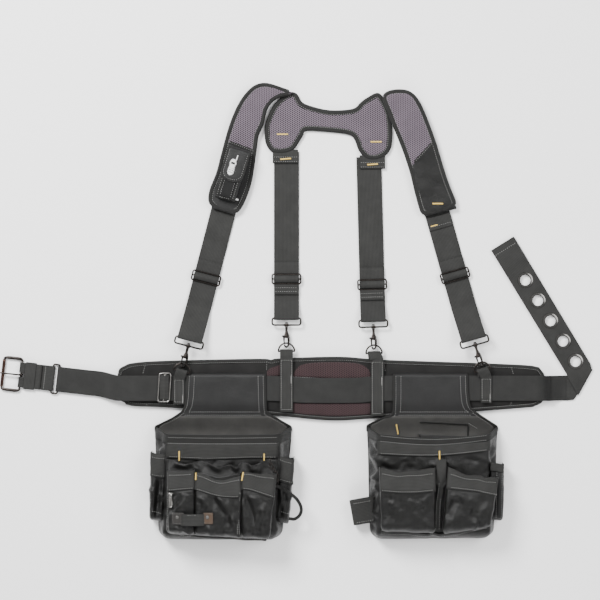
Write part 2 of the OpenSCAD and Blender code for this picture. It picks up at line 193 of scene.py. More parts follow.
def webbing_material(name, dark, light, rib=2.7 * MM, pick=1.9 * MM, turned=False):
    """Heavy webbing: ribs along it, or across it if turned, crossed by the weft, with a little fuzz."""
    look = Look(name, dark, 0.8, sheen=0.04, specular=0.14)
    across, along, _ = look.cloth_place()
    if turned:
        across, along = along, across
    ribs = look.math("ABSOLUTE", look.wave(across, 2 * rib))
    checks = look.times(look.wave(across, 2 * rib), look.wave(along, pick))
    weave = look.plus(ribs, look.times(checks, 0.5))
    fuzz = look.spotty(900.0, 2.0)
    wear = look.spotty(38.0, 5.0)
    mix = look.plus(look.times(weave, 0.42), look.times(wear, 0.55))
    look.colour(mix, dark, light)
    look.roughness(fuzz, 0.6, 0.85)
    look.bump(weave, 0.35 * MM, 0.8)
    look.bump(fuzz, 0.15 * MM, 0.5)
    return look.material


def nylon_material(name, dark, light, rough=0.42, crease=1.0):
    """Coated nylon: a fine plain weave, a soft shine and small creases."""
    look = Look(name, dark, rough, sheen=0.02, specular=0.22)
    x, y, z = look.place()
    weave = look.times(look.wave(look.plus(x, look.times(z, 0.7)), 1.3 * MM),
                      look.wave(look.plus(y, look.times(z, 0.7)), 1.3 * MM))
    broad = look.spotty(22.0, 5.0, 0.65)
    fine = look.spotty(130.0, 6.0, 0.7)
    look.colour(broad, dark, light)
    look.roughness(fine, rough - 0.1, rough + 0.16)
    look.bump(weave, 0.12 * MM, 0.6)
    look.bump(broad, 3.0 * MM * crease, 0.5)
    look.bump(fine, 0.8 * MM * crease, 0.5)
    return look.material


def mesh_material(name, dark, light, pitch=4.0 * MM):
    """Spacer mesh: a knitted surface with rows of small round holes."""
    look = Look(name, light, 0.85, sheen=0.06, specular=0.12)
    x, y, _ = look.place()
    lean = look.times(y, math.sqrt(3) / 2)
    half = look.times(x, 0.5)
    rows = [x, look.plus(half, lean), look.math("SUBTRACT", half, lean)]
    total = None
    for row in rows:
        cell = look.math("COSINE", look.times(row, 2 * math.pi / (pitch * 0.866)))
        total = cell if total is None else look.plus(total, cell)
    knit = look.spotty(700.0, 2.0)
    hole = look.node("MapRange", From_Min=-0.3, From_Max=1.5)
    look.feed(hole.inputs["Value"], total)
    solid = look.math("SUBTRACT", 1.0, hole.outputs["Result"])
    shade = look.times(solid, look.plus(0.72, look.times(look.spotty(30.0), 0.5)))
    look.colour(shade, dark, light)
    look.bump(solid, 0.8 * MM, 0.9)
    look.bump(knit, 0.2 * MM, 0.5)
    return look.material


def cloth_material(name, dark, light):
    """Tightly woven heavy cloth."""
    look = Look(name, dark, 0.78, sheen=0.03, specular=0.15)
    x, y, _ = look.place()
    weave = look.times(look.wave(x, 1.8 * MM), look.wave(y, 1.8 * MM))
    broad = look.spotty(26.0, 5.0)
    look.colour(look.plus(look.times(weave, 0.2), broad), dark, light)
    look.bump(weave, 0.25 * MM, 0.7)
    look.bump(broad, 2.0 * MM, 0.4)
    return look.material


def thread_material(name, dark, light):
    look = Look(name, light, 0.55, sheen=0.4)
    look.colour(look.spotty(400.0, 3.0), dark, light)
    look.bump(look.spotty(1500.0, 2.0), 0.15 * MM, 0.5)
    return look.material


def metal_material(name, dark, light, rough, warm=None):
    """Plated metal with handling marks and a slightly uneven polish."""
    look = Look(name, light, rough, metal=1.0)
    patches = look.spotty(60.0, 6.0, 0.7)
    look.colour(patches, dark, warm or light)
    look.roughness(look.spotty(240.0, 5.0), rough * 0.6, rough * 1.6)
    look.bump(look.spotty(700.0, 4.0), 0.05 * MM, 0.4)
    return look.material


def leather_material(name, dark, light):
    look = Look(name, dark, 0.45, specular=0.5)
    grain = look.node("TexVoronoi", Scale=900.0)
    look.feed(grain.inputs["Vector"], look.node("TexCoord").outputs["Object"])
    look.colour(look.spotty(80.0, 5.0), dark, light)
    look.bump(grain.outputs["Distance"], 0.3 * MM, 0.7)
    return look.material


WEBBING = webbing_material("charcoal_webbing", (0.007, 0.007, 0.0068), (0.034, 0.034, 0.0325))
BELT_WEBBING = webbing_material("belt_webbing_ribs", (0.006, 0.006, 0.006), (0.029, 0.029, 0.028), 2.2 * MM,
                                1.6 * MM, True)
TAPE = webbing_material("binding_tape", (0.005, 0.005, 0.005), (0.024, 0.024, 0.023), 1.1 * MM, 0.9 * MM)
NYLON = nylon_material("black_nylon", (0.0045, 0.0045, 0.0045), (0.015, 0.015, 0.015))
SHINY_NYLON = nylon_material("shiny_nylon", (0.0015, 0.0015, 0.0014), (0.0065, 0.0065, 0.006), 0.36, 1.6)
HEAVY_NYLON = nylon_material("heavy_nylon", (0.004, 0.004, 0.004), (0.013, 0.013, 0.013), 0.5, 0.6)
MESH = mesh_material("purple_grey_mesh", (0.005, 0.004, 0.005), (0.124, 0.101, 0.123))
LUMBAR_MESH = mesh_material("burgundy_mesh", (0.003, 0.002, 0.002), (0.045, 0.028, 0.030))
# a lighter cloth for the slope inside the pouch mouths: painted light on the black panel
PAINTED_LIGHT_CLOTH = cloth_material("pouch_slope_painted_light", (0.022, 0.022, 0.021), (0.06, 0.058, 0.055))
BELT_CLOTH = cloth_material("belt_cloth", (0.004, 0.004, 0.004), (0.017, 0.0165, 0.016))
GREY_THREAD = thread_material("grey_thread", (0.10, 0.10, 0.098), (0.27, 0.27, 0.26))
DARK_THREAD = thread_material("dark_thread", (0.05, 0.05, 0.05), (0.1, 0.1, 0.1))
LEATHER_THREAD = thread_material("dark_leather_thread", (0.03, 0.03, 0.03), (0.06, 0.06, 0.06))
YELLOW_THREAD = thread_material("yellow_thread", (0.42, 0.28, 0.05), (0.78, 0.55, 0.13))
WHITE_THREAD = thread_material("white_thread", (0.50, 0.50, 0.50), (0.80, 0.80, 0.79))
FUZZ = cloth_material("loop_tape", (0.006, 0.006, 0.006), (0.014, 0.014, 0.014))
GUNMETAL = metal_material("gunmetal", (0.016, 0.015, 0.015), (0.05, 0.047, 0.046), 0.28,
                          (0.045, 0.038, 0.034))
NICKEL = metal_material("nickel", (0.13, 0.127, 0.122), (0.38, 0.37, 0.355), 0.2)
DARK_NICKEL = metal_material("dark_nickel", (0.03, 0.029, 0.028), (0.17, 0.165, 0.16), 0.18)
COPPER = metal_material("bronzed_steel", (0.025, 0.013, 0.011), (0.12, 0.068, 0.052), 0.22)
BLACK_LEATHER = leather_material("black_leather", (0.005, 0.0045, 0.004), (0.016, 0.013, 0.011))
TAN_LEATHER = leather_material("brown_leather", (0.022, 0.012, 0.006), (0.065, 0.036, 0.018))


# ---- mesh helpers: every length below is in millimetres in the row frame ----
def mesh_object(name, points, faces, material, smooth=True, cloth_map=None):
    data = bpy.data.meshes.new(name)
    data.from_pydata([tuple(float(c) * MM for c in p) for p in points], [], [tuple(f) for f in faces])
    data.validate()
    if cloth_map is not None:
        layer = data.uv_layers.new(name="cloth")
        index = np.empty(len(data.loops), int)
        data.loops.foreach_get("vertex_index", index)
        layer.data.foreach_set("uv", (np.asarray(cloth_map)[index] * MM).ravel())
    data.materials.append(material)
    data.polygons.foreach_set("use_smooth", [smooth] * len(data.polygons))
    made = bpy.data.objects.new(name, data)
    bpy.context.scene.collection.objects.link(made)
    return made


def smooth_path(points, step=3.0):
    """A Catmull-Rom curve through the points, with a point about every step."""
    p = np.asarray(points, float)
    p = np.vstack([2 * p[0] - p[1], p, 2 * p[-1] - p[-2]])
    out = []
    for i in range(1, len(p) - 2):
        count = max(1, int(np.linalg.norm(p[i + 1] - p[i]) / step))
        for t in np.arange(count) / count:
            out.append(0.5 * (2 * p[i] + (p[i + 1] - p[i - 1]) * t
                              + (2 * p[i - 1] - 5 * p[i] + 4 * p[i + 1] - p[i + 2]) * t ** 2
                              + (3 * p[i] - p[i - 1] - 3 * p[i + 1] + p[i + 2]) * t ** 3))
    return np.array(out + [p[-2]])


def straight_path(points, step=3.0):
    """Points about every step along straight lines between the given points."""
    p = np.asarray(points, float)
    out = []
    for a, b in zip(p, p[1:]):
        count = max(1, int(round(np.linalg.norm(b - a) / step)))
        out += [a + (b - a) * t for t in np.arange(count) / count]
    return np.array(out + [p[-1]])


def lengths_along(path):
    return np.concatenate([[0], np.cumsum(np.linalg.norm(np.diff(path, axis=0), axis=1))])


def unit(v):
    v = np.asarray(v, float)
    return v / np.maximum(np.linalg.norm(v, axis=-1, keepdims=True), 1e-9)


def tangents(path):
    return unit(np.gradient(path, axis=0))


def ring_faces(rings, sides, joined=False, cap=True):
    """Faces between rings of points that follow each other, joined into a loop or capped at both ends."""
    count = rings if joined else rings - 1
    faces = [(i * sides + j, i * sides + (j + 1) % sides, (i + 1) % rings * sides + (j + 1) % sides,
              (i + 1) % rings * sides + j) for i in range(count) for j in range(sides)]
    if cap and not joined:
        faces += [tuple(range(sides))[::-1], tuple((rings - 1) * sides + j for j in range(sides))]
    return faces


def sweep(name, path, across, profile, material, cap=True):
    """Sweeps a closed profile of (across, up) points along a path. across is the width's direction."""
    path = np.asarray(path, float)
    across = unit(np.broadcast_to(np.asarray(across, float), path.shape))
    along = tangents(path)
    across = unit(across - along * (across * along).sum(1, keepdims=True))
    up = np.cross(across, along)
    profile = np.asarray(profile, float)
    points = path[:, None] + across[:, None] * profile[None, :, :1] + up[:, None] * profile[None, :, 1:2]
    where = lengths_along(path)
    cloth = np.stack(np.broadcast_arrays(profile[None, :, 0], where[:, None]), -1)
    faces = ring_faces(len(path), len(profile), cap=cap)
    return mesh_object(name, points.reshape(-1, 3), faces, material, True, cloth.reshape(-1, 2))


def strap_profile(width, thick, layers=1):
    """The cross-section of webbing: flat, with rounded selvedges and a groove between two layers."""
    half, h = width / 2, thick / 2
    places = np.array([-1, -0.985, -0.94, -0.75, -0.5, -0.25, 0, 0.25, 0.5, 0.75, 0.94, 0.985, 1])
    rise = np.array([0.45, 0.8, 1, 0.96, 0.93, 0.92, 0.92, 0.92, 0.93, 0.96, 1, 0.8, 0.45])
    top = [(p * half, r * h) for p, r in zip(places, rise)]
    low = [(p * half, -r * h) for p, r in zip(places[::-1], rise[::-1])]
    groove = [(half - 0.7, 0)] if layers == 2 else []
    return top + groove + low + [(-x, z) for x, z in groove]


def round_profile(width, thick, count=10):
    return [(math.cos(a) * width / 2, math.sin(a) * thick / 2)
            for a in np.linspace(0, -2 * math.pi, count, endpoint=False)]


def strap(name, path, across, width=50, thick=2.2, layers=1, material=None):
    return sweep(name, path, across, strap_profile(width, thick, layers), material or WEBBING)


# ---- stitching ----
def segments(name, pairs, radius, material, body):
    """One mesh of short plump threads, one between each pair of points."""
    ring = [(math.cos(a), math.sin(a)) for a in np.linspace(0, 2 * math.pi, 5, endpoint=False)]
    points, faces = [], []
    for a, b in pairs:
        a, b = np.asarray(a, float), np.asarray(b, float)
        along = unit(b - a)
        side = unit(np.cross(along, (0, 0, 1) if abs(along[2]) < 0.9 else (1, 0, 0)))
        up = np.cross(side, along)
        base = len(points)
        points.append(a)
        for where in (0.22, 0.78):
            for c, s in ring:
                points.append(a + (b - a) * where + side * c * radius + up * s * radius)
        points.append(b)
        for j in range(5):
            k = (j + 1) % 5
            faces += [(base, base + 1 + k, base + 1 + j),
                      (base + 1 + j, base + 1 + k, base + 6 + k, base + 6 + j),
                      (base + 11, base + 6 + j, base + 6 + k)]
    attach(mesh_object(name, points, faces, material), body)


def stitch_pairs(path, length=2.5, gap=1.9):
    """The two ends of each stitch along a path."""
    path = np.asarray(path, float)
    where = lengths_along(path)
    starts = np.arange(0.4, max(where[-1] - length, 0.5), length + gap)
    at = lambda s: np.array([np.interp(s, where, path[:, c]) for c in range(3)])
    return [(at(s), at(s + length)) for s in starts]


def closed(loop):
    return np.vstack([loop, loop[:1]])


def stitch_row(*corners):
    """Stitches along the straight lines between the given points."""
    return stitch_pairs(straight_path(corners))


def bartack_pairs(a, b, width=3.0, pitch=0.75):
    """Close zigzag threads from a to b."""
    a, b = np.asarray(a, float), np.asarray(b, float)
    side = unit(np.cross(b - a, (0, 0, 1))) * width / 2
    count = max(3, int(np.linalg.norm(b - a) / pitch))
    steps = [a + (b - a) * t for t in np.linspace(0, 1, count)]
    return [(p - side, q + side) for p, q in zip(steps, steps[1:])]


def tube(name, path, radii, material, flat=1.0, across=(0, 0, 1), sides=12):
    """A round bar of changing radius along a path; flat squashes it across its up direction."""
    path = np.asarray(path, float)
    radii = np.interp(np.linspace(0, 1, len(path)), np.linspace(0, 1, len(radii)), radii)
    along = tangents(path)
    side = unit(np.cross(along, np.broadcast_to(np.asarray(across, float), path.shape)))
    up = np.cross(along, side)
    angles = np.linspace(0, 2 * math.pi, sides, endpoint=False)
    points = [path[i] + radii[i] * (math.cos(a) * side[i] + math.sin(a) * flat * up[i])
              for i in range(len(path)) for a in angles]
    return mesh_object(name, points, ring_faces(len(path), sides), material)


def bar(name, a, b, radius, material, flat=1.0, step=8):
    """A straight round bar from a to b."""
    return tube(name, straight_path([a, b], step), [radius, radius], material, flat)


def rounded_corners(points, radius, steps=6):
    """The points of a polygon with its corners replaced by arcs."""
    p = [np.asarray(q, float) for q in points]
    out = []
    for i, corner in enumerate(p):
        before, after = unit(p[i - 1] - corner), unit(p[(i + 1) % len(p)] - corner)
        start, end = corner + before * radius, corner + after * radius
        out += [(1 - t) ** 2 * start + 2 * t * (1 - t) * corner + t * t * end
                for t in np.linspace(0, 1, steps)]
    return np.array(out)


def closed_wire(name, corners, radius, corner_radius, material, across=(0, 0, 1)):
    """A bent wire that closes on itself."""
    loop = rounded_corners(corners, corner_radius)
    loop = straight_path(closed(loop), 4.0)[:-1]
    n, sides = len(loop), 10
    along = unit(np.roll(loop, -1, 0) - np.roll(loop, 1, 0))
    side = unit(np.cross(along, np.broadcast_to(np.asarray(across, float), loop.shape)))
    up = np.cross(along, side)
    points = [loop[i] + radius * (math.cos(a) * side[i] + math.sin(a) * up[i])
              for i in range(n) for a in np.linspace(0, 2 * math.pi, sides, endpoint=False)]
    return mesh_object(name, points, ring_faces(n, sides, joined=True), material)


def flat_sheet(name, outline, holes, z, thick, along, material):
    """A flat piece of webbing cut to an outline, with round holes given as (x, y, radius)."""
    curve = bpy.data.curves.new(name, "CURVE")
    curve.dimensions = "2D"
    curve.fill_mode = "BOTH"
    curve.extrude = thick / 2 * MM
    rings = [np.asarray(outline, float)[:, :2]]
    rings += [np.array([(x + r * math.cos(a), y + r * math.sin(a))
                        for a in np.linspace(0, 2 * math.pi, 24, endpoint=False)]) for x, y, r in holes]
    for ring in rings:
        spline = curve.splines.new("POLY")
        spline.points.add(len(ring) - 1)
        for point, (x, y) in zip(spline.points, ring):
            point.co = (x * MM, y * MM, 0, 1)
        spline.use_cyclic_u = True
    flat = bpy.data.objects.new(name, curve)
    data = bpy.data.meshes.new_from_object(flat)
    bpy.data.objects.remove(flat)
    points = np.array([v.co[:] for v in data.vertices]) / MM + (0, 0, z)
    faces = [tuple(p.vertices) for p in data.polygons]
    along = unit(np.array([*along, 0.0]))
    across = np.array([-along[1], along[0], 0])
    cloth = np.stack([points @ across, points @ along], 1)
    return mesh_object(name, points, faces, material, False, cloth)


def ride(piece, body, *replaced, slot=None):
    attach(piece, body)
    if replaced:
        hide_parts(*replaced)
    return piece


# ---- where the straps are, from the frame's joints ----
JOINTS = {joint["name"]: joint for joint in frame["joints"]}


class Line:
    """A local place on the object: an origin, a direction along it and one across it."""

    def __init__(self, origin, along):
        self.origin = np.asarray(origin, float)
        self.along = unit(np.array([along[0], along[1], 0.0]))
        self.across = np.array([self.along[1], -self.along[0], 0.0])

    def at(self, across, along, up=0.0):
        return self.origin + self.across * across + self.along * along + np.array([0, 0, up])

    def path(self, profile, across=0.0):
        """A path from (along, up) pairs."""
        return np.array([self.at(across, a, u) for a, u in profile])


def joint_line(joint_name, turn):
    """The line through a joint whose axis lies across it."""
    joint = JOINTS[joint_name]
    axis = np.asarray(joint["axis"], float) * turn
    return Line(np.asarray(joint["pos_m"]) / MM, (-axis[1], axis[0]))


STRAPS = {name: joint_line(name + "_loop_lift", -1)
          for name in ("front_left", "back_left", "back_right", "front_right")}
FOLD_RADIUS = 3.0
LAYER = 1.25
STRAP_TOP = {"front_left": 268, "back_left": 332, "back_right": 326, "front_right": 268}
SLIDER_AT = {name: float(np.dot(np.mean([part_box(name + "_slider")[0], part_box(name + "_slider")[1]], 0) / MM
                                - line.origin, line.along)) for name, line in STRAPS.items()}


def suspender_strap(name):
    """The strap comes down to its end loop, folds round it and goes back up to the slider."""
    line = STRAPS[name]
    drop = line.origin[2] - 2.6
    slope = 8 + 2.9 * drop
    middle = [(4, 0), (8, -0.4), (slope * 0.5, -drop * 0.47), (slope, -drop), (slope + 14, -drop)]
    turn = [(FOLD_RADIUS * math.cos(a), FOLD_RADIUS * math.sin(a))
            for a in np.linspace(math.pi * 0.6, math.pi * 1.4, 9)]
    end = SLIDER_AT[name] + 34
    front = [(a, u + LAYER) for a, u in middle] + [(end, LAYER - drop)]
    back = [(a, u - LAYER) for a, u in middle] + [(end, -LAYER - drop), (end + 30, -0.4 - drop),
                                                 (STRAP_TOP[name], -drop)]
    path = np.vstack([smooth_path(line.path(front[::-1]), 6), line.path(turn),
                      smooth_path(line.path(back), 6)])
    ride(strap(name + "_strap_web", path, line.across), "harness", name + "_strap", slot="webbing")


def slider_and_fold(name):
    """The wire slider, the hump of webbing over its middle bar, and what is sewn behind it."""
    line, middle = STRAPS[name], SLIDER_AT[name]
    body = name + "_slider"
    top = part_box(body)[0][2] / MM - line.origin[2] + 1.6
    half_w, half_l = 28.6, 9.6
    corners = [line.at(x, middle + y, top) for x, y in
               ((-half_w, -half_l), (half_w, -half_l), (half_w, half_l), (-half_w, half_l))]
    frame_wire = closed_wire(name + "_slider_wire", corners, 1.6, 4, GUNMETAL)
    middle_bar = bar(name + "_slider_bar", line.at(-half_w, middle, top), line.at(half_w, middle, top), 1.4,
                     GUNMETAL)
    ride(frame_wire, body, body, slot="gunmetal")
    ride(middle_bar, body, slot="gunmetal")
    hump = [(middle + y, top + u) for y, u in ((-7.4, -1.2), (-4.6, 1.2), (-2, 2.6), (0, 3.0), (2, 2.6),
                                               (4.6, 1.2), (7.4, -1.2))]
    fold = strap(name + "_slider_fold", smooth_path(line.path(hump), 1.5), line.across, 48.5, 1.8)
    ride(fold, body, slot="webbing")
    if name.startswith("back"):
        sewn = [(middle - 31, 0.4), (middle - 28, 0.1), (middle - 14, 0.3), (middle - 11, 1.2)]
        flap = strap(name + "_sewn_end", smooth_path(line.path([(a, top + u - 0.1) for a, u in sewn]), 3),
                     line.across, 49, 2.0)
        ride(flap, body, slot="webbing")
        rows = []
        for a in (middle - 17.5, middle - 25):
            rows += stitch_row(line.at(-22.5, a, top + 0.8), line.at(22.5, a, top + 0.8))
        segments(name + "_sewn_end_stitches", rows, 0.5, GREY_THREAD, body)


# ---- end loops, hooks, gates and D-rings ----
HOOK_ROLL = math.radians(50)


def hook_points(line, points):
    """Points given in the hook's own turned plane as (across, along, out)."""
    c, s = math.cos(HOOK_ROLL), math.sin(HOOK_ROLL)
    return np.array([line.at(x * c + z * s, y, -x * s + z * c) for x, y, z in points])


def hook_normal(line):
    c, s = math.cos(HOOK_ROLL), math.sin(HOOK_ROLL)
    return line.across * s + np.array([0, 0, c])


def hanging_hardware(name):
    line = STRAPS[name]
    half_w, length = 28.5, 14
    corners = [line.at(x, y) for x, y in ((-half_w, 0), (half_w, 0), (half_w, -length), (-half_w, -length))]
    loop = closed_wire(name + "_loop_wire", corners, 1.75, 5, GUNMETAL)
    ride(loop, name + "_loop", name + "_loop", slot="gunmetal")
    boss = tube(name + "_loop_boss", line.path([(-length + a, 0) for a in (3.2, 2.9, 2.2, -2.2, -2.9, -3.2)]),
                [3.0, 4.0, 4.5, 4.5, 4.0, 3.0], GUNMETAL, across=(0, 0, 1), sides=18)
    ride(boss, name + "_loop", slot="gunmetal")
    normal = hook_normal(line)
    cap = tube(name + "_hook_cap", line.path([(-8.0, 0), (-8.3, 0), (-9.2, 0), (-10.4, 0)]),
               [1.2, 2.2, 3.0, 3.2], GUNMETAL, sides=16)
    ride(cap, name + "_hook", slot="gunmetal")
    shank = smooth_path(hook_points(line, [(0, -17.4, 0), (0, -19, 0), (0, -24, 0), (0.3, -30, 0),
                                           (0.8, -36, 0), (0.6, -40, 0)]), 1.5)
    body = tube(name + "_hook_body", shank, [4.2, 3.6, 3.4, 4.4, 6.4, 7.6, 6.6], GUNMETAL, 0.52, normal, 18)
    ride(body, name + "_hook", name + "_hook", slot="gunmetal")
    arc = [(6.5 * math.cos(a), -51 - 6.5 * math.sin(a), 0) for a in np.linspace(0, math.radians(160), 14)]
    eye = [(4.8, -35, 0), (6.2, -39, 0), (6.6, -45, 0)] + arc
    jaw = tube(name + "_hook_jaw", smooth_path(hook_points(line, eye), 1.5),
               [2.6, 2.4, 2.1, 1.9, 1.9, 1.9, 1.5], GUNMETAL, 1.0, normal)
    ride(jaw, name + "_hook", slot="gunmetal")
    lever = tube(name + "_gate_arm", smooth_path(hook_points(line, [(-6.9, -50.6, 0), (-7.4, -46, 0),
                                                                    (-8.2, -37, 0), (-10.4, -35.4, 0),
                                                                    (-12.6, -36.4, 0)]), 1.5),
                 [1.2, 1.4, 1.5, 2.0, 1.7, 1.6], GUNMETAL, 1.0, normal)
    ride(lever, name + "_gate", name + "_gate", slot="gunmetal")
    pivot = JOINTS[name + "_d_ring_lift"]
    centre = np.asarray(pivot["pos_m"]) / MM
    radius = 16
    ring = [centre + radius * (math.cos(a) * line.across + math.sin(a) * line.along)
            for a in np.linspace(0, math.pi, 22)]
    bow = [ring[0] - line.along * 1.2 - line.across * 1.6, *ring,
           ring[-1] - line.along * 1.2 + line.across * 1.6]
    d_ring = tube(name + "_d_ring_bow", bow, [1.7, 1.7], GUNMETAL, across=(0, 0, 1))
    ride(d_ring, name + "_d_ring", name + "_d_ring", slot="gunmetal")
    foot = bar(name + "_d_ring_bar", centre - line.across * radius, centre + line.across * radius, 1.7,
               GUNMETAL)
    ride(foot, name + "_d_ring", slot="gunmetal")


# ---- the tabs that hold the D-rings ----
PAD_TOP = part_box("belt_pad")[1][2] / MM
WEB_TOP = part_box("belt_webbing")[1][2] / MM
BELT_MID = float(np.mean([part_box("belt_webbing")[0][1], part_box("belt_webbing")[1][1]])) / MM
# each tab: the strap it serves, its middle x, width, and how far down the belt it is sewn
TABS = {"front_left": (-233, 22, -186), "back_left": (-19, 26, -201), "back_right": (162, 25, -209),
        "front_right": (379, 22, -183)}


def ring_tab(name):
    x, width, low_end = TABS[name]
    centre = np.asarray(JOINTS[name + "_d_ring_lift"]["pos_m"]) / MM
    line = STRAPS[name]
    turn = [centre + line.along * 3.1 * math.cos(a) + np.array([0, 0, 3.1 * math.sin(a)])
            for a in np.linspace(-0.5 * math.pi, 0.5 * math.pi, 9)]
    start = centre + np.array([x - centre[0], 0, 0]) * 0.25
    under = [start + (0, -12, -2.6)]
    top_z = WEB_TOP + 1.5
    over = [np.array([centre[0] * 0.4 + x * 0.6, centre[1] - 8, max(centre[2] + 0.4, top_z + 0.6)]),
            np.array([x, centre[1] - 18, top_z + 0.4]), np.array([x, BELT_MID, top_z]),
            np.array([x, low_end + 8, top_z - 0.3]), np.array([x, low_end, top_z - 1.5])]
    across = [line.across] * (len(under) + len(turn)) + [(1, 0, 0)] * len(over)
    keys = np.vstack([under, turn, over])
    path = smooth_path(keys, 2.5)
    blend = np.array([across[int(np.argmin(np.linalg.norm(keys - p, axis=1)))] for p in path])
    tab = strap(name + "_ring_tab", path, blend, width, 2.0)
    ride(tab, "harness", slot="webbing")
    z = top_z + 1.1
    top_edge, half = centre[1] - 18, width / 2 - 2.6
    rows = []
    for side in (-1, 1):
        rows += stitch_row((x + side * half, top_edge, z + 0.3), (x + side * half, low_end + 5, z))
    for y in (top_edge, low_end + 5):
        rows += stitch_row((x - half, y, z), (x + half, y, z))
    segments(name + "_ring_tab_stitches", rows, 0.5, GREY_THREAD, "harness")
    tack = bartack_pairs((x + half - 1, top_edge - 30, z), (x + half - 1, top_edge - 46, z), 1.5)
    segments(name + "_ring_tab_bartack", tack, 0.45, GREY_THREAD, "harness")


# ---- the belt's own webbing, from the joining ring to the folded tail ----
RING_JOINT = np.asarray(JOINTS["joining_ring_fold"]["pos_m"]) / MM
FOLD_AXIS = np.asarray(JOINTS["joining_ring_fold"]["axis"], float)
TO_BUCKLE = np.array([-FOLD_AXIS[1], FOLD_AXIS[0], 0.0])
BAR_Z = RING_JOINT[2]


def beside(where, on, off, up=0.0):
    """A point beside another: on towards the buckle's free end, off along its fold axis, and up."""
    return where + TO_BUCKLE * on + FOLD_AXIS * off + (0, 0, up)


def left_point(distance, across=0.0, up=0.0):
    """A point past the joining ring's inner bar, towards the buckle."""
    return beside(RING_JOINT, distance, across, up)


WEB_Z = WEB_TOP - 1.1
SLIDER_BOX = [np.asarray(c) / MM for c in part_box("belt_slider")]


def belt_strap():
    """One webbing: over the pad, out to the buckle end, round the ring and back to the slider."""
    def line_part(offset):
        return [left_point(d, 0, offset) for d in (-6, -30, -60, -84)]
    arc = [left_point(0.5 + 2.6 * math.cos(a), 0, 3.0 * math.sin(a)) for a in np.linspace(-1.3, 1.3, 9)]
    slider_x = (SLIDER_BOX[0][0] + SLIDER_BOX[1][0]) / 2
    rise = [(-362, BELT_MID + 1.5, 11.0), (-346, BELT_MID, WEB_Z)]
    top = [(slider_x - 3, BELT_MID, WEB_Z + 2.3)] + [(x, y, z + 2.3) for x, y, z in rise[::-1]]
    top += line_part(LAYER)[::-1]
    low = line_part(-LAYER) + [(x, y, z) for x, y, z in rise]
    run = [(-300, BELT_MID, WEB_Z), (-60, BELT_MID, WEB_Z), (20, BELT_MID - 4, WEB_Z),
           (120, BELT_MID - 4, WEB_Z), (190, BELT_MID, WEB_Z), (480, BELT_MID, WEB_Z),
           (500, BELT_MID, WEB_Z - 0.5), (516, BELT_MID, 7.5), (530, BELT_MID, 1.8), (544, BELT_MID, 1.3)]
    path = np.vstack([smooth_path(top, 6), arc[::-1], smooth_path(np.vstack([low, run]), 6)])
    tilt = np.clip((path[:, 0] + 372) / 30, 0, 1)[:, None]
    across = FOLD_AXIS * (1 - tilt) + np.array([0, 1, 0]) * tilt
    web = strap("belt_web", path, across, material=BELT_WEBBING)
    ride(web, "harness", "belt_webbing", "left_strap", slot="webbing")


def belt_tail():
    """The free end, folded over at a slant, with a hem at its end."""
    low_z, high_z = 1.3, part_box("belt_tail")[1][2] / MM - 1.1
    y_top, y_low = BELT_MID + 25, BELT_MID - 25
    fold_low, fold_high, shoulder = (563, -167), (591, -116), (588, -105)
    low_leg = [(541, y_low), (541, y_top), (584, y_top), fold_low, (555, y_low + 1.2)]
    lower = flat_sheet("belt_tail_lower", low_leg, [], low_z, 2.2, (1, 0), WEBBING)
    ride(lower, "harness", slot="webbing")
    holes = [(458 + 25.05 * i, 61.6 - 40.6 * i, 11.6) for i in range(5)]
    high_leg = [fold_low, (540, -125), (390, 121), (435, 149), shoulder, fold_high]
    upper = flat_sheet("belt_tail_upper", high_leg, holes, high_z, 2.2, (435 - 588, 149 + 105), WEBBING)
    ride(upper, "harness", "belt_tail", slot="webbing")
    crease = bar("belt_tail_crease", (*fold_low, 2.5), (*fold_high, 2.5), 2.3, WEBBING, 0.9, 6)
    ride(crease, "harness", slot="webbing")
    z = high_z + 1.3
    hem = stitch_row((398.4, 110.9, z), (440, 136.9, z))
    segments("belt_tail_hem", hem, 0.5, GREY_THREAD, "harness")


